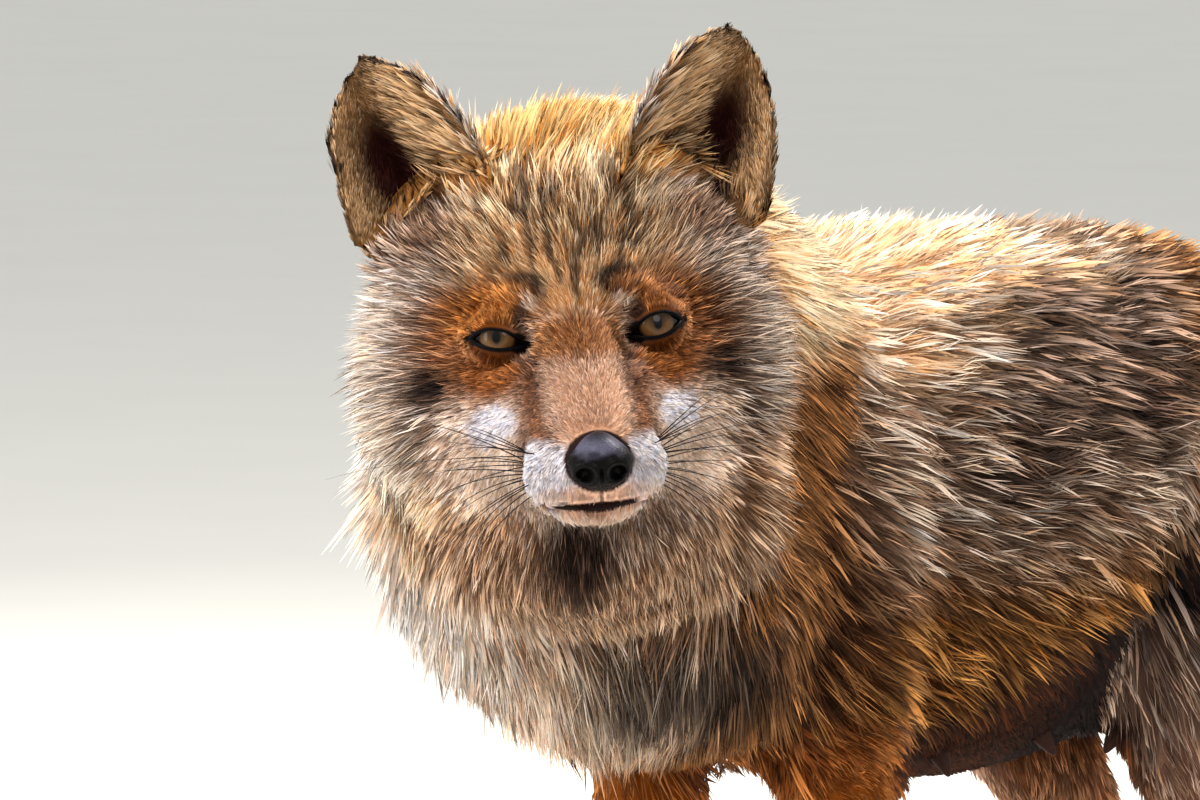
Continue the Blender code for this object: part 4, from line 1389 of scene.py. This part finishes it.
class Tufts:
    """The tufts of one coat piece: where they root, bend and end, and what hair they are of."""

    def __init__(self, coat, zone, triangles, count, rng):
        corner = coat.triangles[triangles, 0]
        weight = np.cumsum(coat.areas[triangles] / (coat.length[corner] * coat.width[corner]))
        chosen = np.searchsorted(weight, (np.arange(count) + rng.random(count)) / count * weight[-1])
        chosen, shares = triangles[chosen], rng.dirichlet((1, 1, 1), count)
        grown = ~coat.bare[coat.triangles[chosen]].any(1)
        chosen, shares = chosen[grown], shares[grown]
        self.root = coat.at(coat.points, chosen, shares)
        self.normal = unit(coat.at(coat.normals, chosen, shares))
        self.lie = coat.at(coat.flow, chosen, shares)
        self.lift, self.length, self.width, self.free = (
            coat.at(values, chosen, shares) for values in (coat.lift, coat.length, coat.width, coat.free)
        )
        self.labels = coat.labels[coat.triangles[chosen, 0]]
        size = len(self.root)
        self.lie = turned(self.lie, self.normal, rng.normal(0, TUFT_TURN, size))
        self.length = self.length * rng.uniform(*LENGTHS, size)
        wisp = (rng.random(size) < WISPS) & (self.lift > 5)
        self.length = np.where(wisp, 1.35 * self.length, self.length)
        self.free = np.maximum(self.free, 0.9 * wisp)
        self.guard = rng.random(size) < GUARD_HAIRS
        self.stand = np.where(self.guard, rng.uniform(0.92, 1.22, size), rng.uniform(0.52, 0.90, size))
        self.lay_down(coat, zone)

    def lay_down(self, coat, zone):
        """Lays the hair along the skin and lifts it off, with its bend on an arch."""
        reach = (self.length * MM)[:, None]
        middle, self.middle_normal, _ = coat.nearest(self.root + self.lie * reach * BEND)
        onward = unit(self.lie + 0.6 * (middle - self.root) / reach)
        onward = along_skin(onward, self.middle_normal)
        tip, tip_normal, self.tip_labels = coat.nearest(middle + onward * reach * (1 - BEND))
        if zone == "ears":
            self.fur = fur_colours(self.root, self.normal, self.labels)
        else:
            self.fur = fur_colours(0.5 * (middle + tip), tip_normal, self.tip_labels)
        free = self.free[:, None]
        tip = tip + (self.root + self.lie * reach - tip) * free
        self.tip_normal = unit(tip_normal + (self.normal - tip_normal) * free)
        rising = (self.lift * self.stand * MM)[:, None]
        self.tip = tip + self.tip_normal * rising
        straight = self.root + (self.tip - self.root) * BEND
        arch = middle + self.middle_normal * rising * 0.8 - straight
        high = np.maximum(np.linalg.norm(arch, axis=1), 1e-9)
        self.middle = straight + arch * np.minimum(1, (0.4 + 0.025 * self.length) * MM / high)[:, None]

    def drop_strays(self, zone):
        """Drops hair over eyes, mouth or ears, in the floor, or pushed back against its lie."""
        root, middle, tip = self.root, self.middle, self.tip
        good = clear_of_eyes(tip) & clear_of_eyes(middle) & clear_of_mouth(tip) & clear_of_mouth(middle)
        good &= ends_on_its_lip(root, tip)
        good &= ((tip - root) * self.lie).sum(1) > 0.25 * self.length * MM
        good &= np.minimum(tip[:, 2], middle[:, 2]) > FLOOR_GAP
        good &= (zone == "ears") | ~is_node(self.tip_labels, "ear")
        for name, values in list(vars(self).items()):
            setattr(self, name, values[good])

    def colour_hair(self, zone, slot, rng):
        """Pale-tipped guard hair over darker hair, each tuft a little lighter, warmer or more ticked."""
        size, fur, guard = len(self.root), self.fur, self.guard
        long_hair = rise(2.5, 6.0, self.lift) if zone != "ears" else 0.8 * rise(1.2, 3.5, self.lift)
        under = (~guard * long_hair)[:, None] * (0.6 if slot != "coat" or zone == "thighs" else 1.0)
        deep = 0.68 if zone.startswith(("face", "crown")) else 0.58
        fur[:, 2] += (deep * (fur[:, 0] - fur[:, 1]) + fur[:, 1] - fur[:, 2]) * 0.9 * under
        fur[:, 1] += (fur[:, 0] - fur[:, 1]) * deep * under
        fur[:, 1] += (fur[:, 2] - fur[:, 1]) * (0.4 * guard * long_hair)[:, None]
        tone = rng.normal(size=size) + 0.7 * mottle(self.root, 0.0016, 30)
        tone = np.interp(self.lift, [1.0, 5.0], [0.20, 0.38]) * tone + 0.08 * mottle(self.root, 0.006, 31)
        warm = 0.06 * rng.normal(size=size)
        fur = fur * np.exp(tone)[:, None, None] * (1 + warm[:, None, None] * np.array([1, 0.25, -1]))
        ticked = np.exp(np.interp(self.lift, [1.0, 5.0], [0.36, 0.50]) * rng.normal(size=size))[:, None]
        fur[:, 2] *= ticked
        fur[:, 1] *= ticked**0.5
        self.fur = fur / np.maximum(fur.max(2, keepdims=True) / BRIGHTEST, 1)


def grow(coat, zone, triangles):
    """One coat piece: closed four-sided blades of hair, rooted in the skin, in tufts along its lie."""
    count, in_tuft, gather, slot = COATS[zone]
    rng = np.random.default_rng(sum(map(ord, zone)))
    tufts = Tufts(coat, zone, triangles, int(count * FUR_SHARE) // in_tuft, rng)
    tufts.drop_strays(zone)
    tufts.colour_hair(zone, slot, rng)
    size = len(tufts.root)
    spacing = np.sqrt(coat.areas[triangles].sum() / max(size, 1)) / MM

    def many(values):
        return np.repeat(values, in_tuft, axis=0)

    off = rng.normal(0, np.minimum(0.40 * spacing, 1.6), (size * in_tuft, 2))
    side, lie, upward = many(np.cross(tufts.normal, tufts.lie)), many(tufts.lie), many(tufts.middle_normal)
    offset = (side * off[:, :1] + lie * off[:, 1:]) * MM
    jitter = rng.normal(0, 1, (size * in_tuft, 3)) * many(tufts.lift)[:, None] * 0.05 * MM
    base = many(tufts.root) + offset - many(tufts.normal) * ROOT_DEPTH * MM
    bend = many(tufts.middle) + offset * (1 - 0.5 * gather) + jitter
    end = many(tufts.tip) + offset * (1 - gather) + 2.2 * jitter
    end = end + many(tufts.lie * (tufts.length * 0.06 * MM)[:, None]) * off[:, :1]
    across = unit(np.cross(end - base, upward) + 0.4 * rng.normal(0, 1, (len(base), 1)) * upward)
    half = across * (many(tufts.width) * rng.uniform(0.32, 0.65, len(base)) * MM)[:, None]
    facing = [many(tufts.normal), upward - 0.55 * across, upward + 0.55 * across, many(tufts.tip_normal)]
    place = unwrapped(zone, tufts.root, tufts.normal, tufts.labels)
    shape = (base, bend, half, end)
    return hair_piece(zone, slot, shape, unit(np.stack(facing, 1)), many(tufts.fur), many(place))


def hair_piece(zone, slot, shape, facing, fur, place):
    """A mesh of closed blades: a root, two sides at the bend and a tip, four triangles each."""
    base, bend, half, end = shape
    size = len(base)
    corners = np.stack([base, bend - half, bend + half, end], 1)
    one, other = corners[:, 1] - corners[:, 0], corners[:, 2] - corners[:, 0]
    inside_out = (np.cross(one, other) * (end - base)).sum(1) < 0
    corners[inside_out, 1:3] = corners[inside_out, 2:0:-1]
    facing[inside_out, 1:3] = facing[inside_out, 2:0:-1]
    blade = np.array([0, 2, 1, 0, 1, 3, 1, 2, 3, 0, 3, 2])
    loops = (np.arange(size)[:, None] * 4 + blade).astype(np.int32).ravel()
    mesh = bpy.data.meshes.new(f"fur_{zone}")
    mesh.vertices.add(4 * size)
    mesh.vertices.foreach_set("co", corners.astype(np.float32).ravel())
    mesh.loops.add(12 * size)
    mesh.loops.foreach_set("vertex_index", loops)
    mesh.polygons.add(4 * size)
    mesh.polygons.foreach_set("loop_start", np.arange(0, 12 * size, 3, dtype=np.int32))
    mesh.polygons.foreach_set("use_smooth", np.ones(4 * size, bool))
    mesh.update(calc_edges=True)
    soft = mesh.attributes.new("custom_normal", "FLOAT_VECTOR", "POINT")
    soft.data.foreach_set("vector", facing.astype(np.float32).ravel())
    obj = new_object(f"fur_{zone}", mesh)
    add_colours(obj, "hair_colour", fur[:, [0, 1, 1, 2]].reshape(-1, 3))
    patch = np.array([(0, -0.0015), (-0.0013, -0.0001), (0.0013, -0.0001), (0, 0.0015)])
    flat = np.clip(place[:, None] + patch, 0, 1).reshape(-1, 2)
    layer = mesh.uv_layers.new(name="OFBake")
    layer.data.foreach_set("uv", flat[loops].astype(np.float32).ravel())
    return finished(obj, MATERIALS["hair"], slot)


def grow_coat(coat):
    zones = zone_of(coat)
    for zone in COATS:
        grow(coat, zone, np.flatnonzero(zones == zone))


# ---------------------------------------------------------------- floor, light and camera


def make_floor():
    bpy.ops.object.select_all(action="DESELECT")
    bpy.ops.mesh.primitive_plane_add(size=60.0)
    floor = bpy.context.object
    floor.name = floor.data.name = "floor"
    material, tree, shader = new_material("pale_floor", roughness=0.9)
    coloured(tree, shader, blended(tree, object_noise(tree, 6.0), (0.56, 0.55, 0.52), (0.60, 0.59, 0.56)))
    floor.data.materials.append(material)


# Each lamp: where it stands and what it faces, from the eyes; its width, its power and its tint.
LAMPS = {
    "front_softbox": ((1.9, -1.6, 1.2), (0, 0, 0), 1.2, 21, (1.0, 0.98, 0.95)),
    "key_softbox": ((-0.3, -1.7, 1.9), (0, 0, 0), 0.8, 36, (1.0, 0.97, 0.93)),
    "side_softbox": ((-1.2, -1.5, 0.15), (0, 0, -0.08), 1.2, 24, (0.99, 0.99, 1.0)),
    "back_light": ((0.75, 1.9, 2.1), (0, 0.2, 0), 0.6, 100, (1.0, 0.95, 0.87)),
    "rim_light": ((-1.7, 1.1, 1.0), (0, 0, -0.05), 0.5, 60, (1.0, 0.96, 0.9)),
}


def light_scene():
    world = bpy.data.worlds.new("studio")
    world.use_nodes = True
    sky = world.node_tree.nodes["Background"]
    sky.inputs["Color"].default_value = (0.95, 0.96, 0.95, 1)
    sky.inputs["Strength"].default_value = 1.0
    bpy.context.scene.world = world
    for name, (place, aim, size, power, tint) in LAMPS.items():
        place, aim = EYE_MIDDLE + Vector(place), EYE_MIDDLE + Vector(aim)
        light = bpy.data.lights.new(name, "AREA")
        light.shape = "DISK"
        light.size, light.energy, light.color = size, power, tint
        lamp = new_object(name, light)
        lamp.location = place
        lamp.rotation_mode = "QUATERNION"
        lamp.rotation_quaternion = (aim - place).to_track_quat("-Z", "Y")


CAMERA_TURN = math.radians(30)
CAMERA_HEIGHT = math.radians(5)
CAMERA_DISTANCE = 3.5
CAMERA_RIGHT, CAMERA_DOWN = 0.00787, 0.02262  # its shift from the line to the eyes
CAMERA_LENS = 320.0


def place_camera():
    """Turned with the head, a little above it, from 3.5 metres."""
    level = math.cos(CAMERA_HEIGHT)
    back = Vector((math.sin(CAMERA_TURN) * level, -math.cos(CAMERA_TURN) * level, math.sin(CAMERA_HEIGHT)))
    turn = (-back).to_track_quat("-Z", "Y")
    camera = new_object("camera", bpy.data.cameras.new("camera"))
    camera.rotation_mode = "QUATERNION"
    camera.rotation_quaternion = turn
    eyes = (middle_of("eye_left") + middle_of("eye_right")) / 2
    right, up = turn @ Vector((1, 0, 0)), turn @ Vector((0, 1, 0))
    camera.location = eyes + back * CAMERA_DISTANCE + right * CAMERA_RIGHT - up * CAMERA_DOWN
    camera.data.lens = CAMERA_LENS
    camera.data.clip_end = 100.0
    bpy.context.scene.camera = camera


# ---------------------------------------------------------------- the fox

MATERIALS = {
    "skin": skin_material(),
    "hair": fur_material(),
    "eye": eye_material(),
    "rim": dark_material("fox_lid_edge", (4, 3, 3), (12, 8, 8), 0.38, 0.04, 1500.0, 2500.0, 0.6),
    "leather": leather_material(),
    "claw": dark_material("fox_claw", (26, 20, 18), (58, 46, 40), 0.35),
    "whisker": dark_material("fox_whisker", (14, 12, 12), (30, 24, 22), 0.4),
    "teat": dark_material("fox_teat", (30, 16, 12), (58, 34, 26), 0.6),
}


def dress_fox():
    surface, nodes = solids_surface()
    skin = make_skin(surface, nodes)
    make_active(skin)
    bpy.ops.object.mode_set(mode="EDIT")
    bpy.ops.mesh.select_all(action="SELECT")
    bpy.ops.uv.smart_project(angle_limit=math.radians(70), island_margin=0.002)
    bpy.ops.object.mode_set(mode="OBJECT")
    skin.data.uv_layers[0].name = "OFBake"
    coat = Coat(skin, surface, nodes)
    paint, shine = skin_colours(coat.points, coat.normals, coat.labels)
    add_colours(skin, "skin_colour", paint)
    add_values(skin, "shine", shine)
    finished(skin, MATERIALS["skin"], "coat", *FLESH)
    for eye, word in zip(EYES, ("left", "right")):
        make_eye(eye, word)
        make_lid_edges(eye, word)
    make_nose()
    make_claws()
    make_whiskers(coat.tree)
    make_teats(coat.tree)
    grow_coat(coat)


dress_fox()
make_floor()
light_scene()
place_camera()
bpy.context.scene.view_settings.view_transform = "Standard"
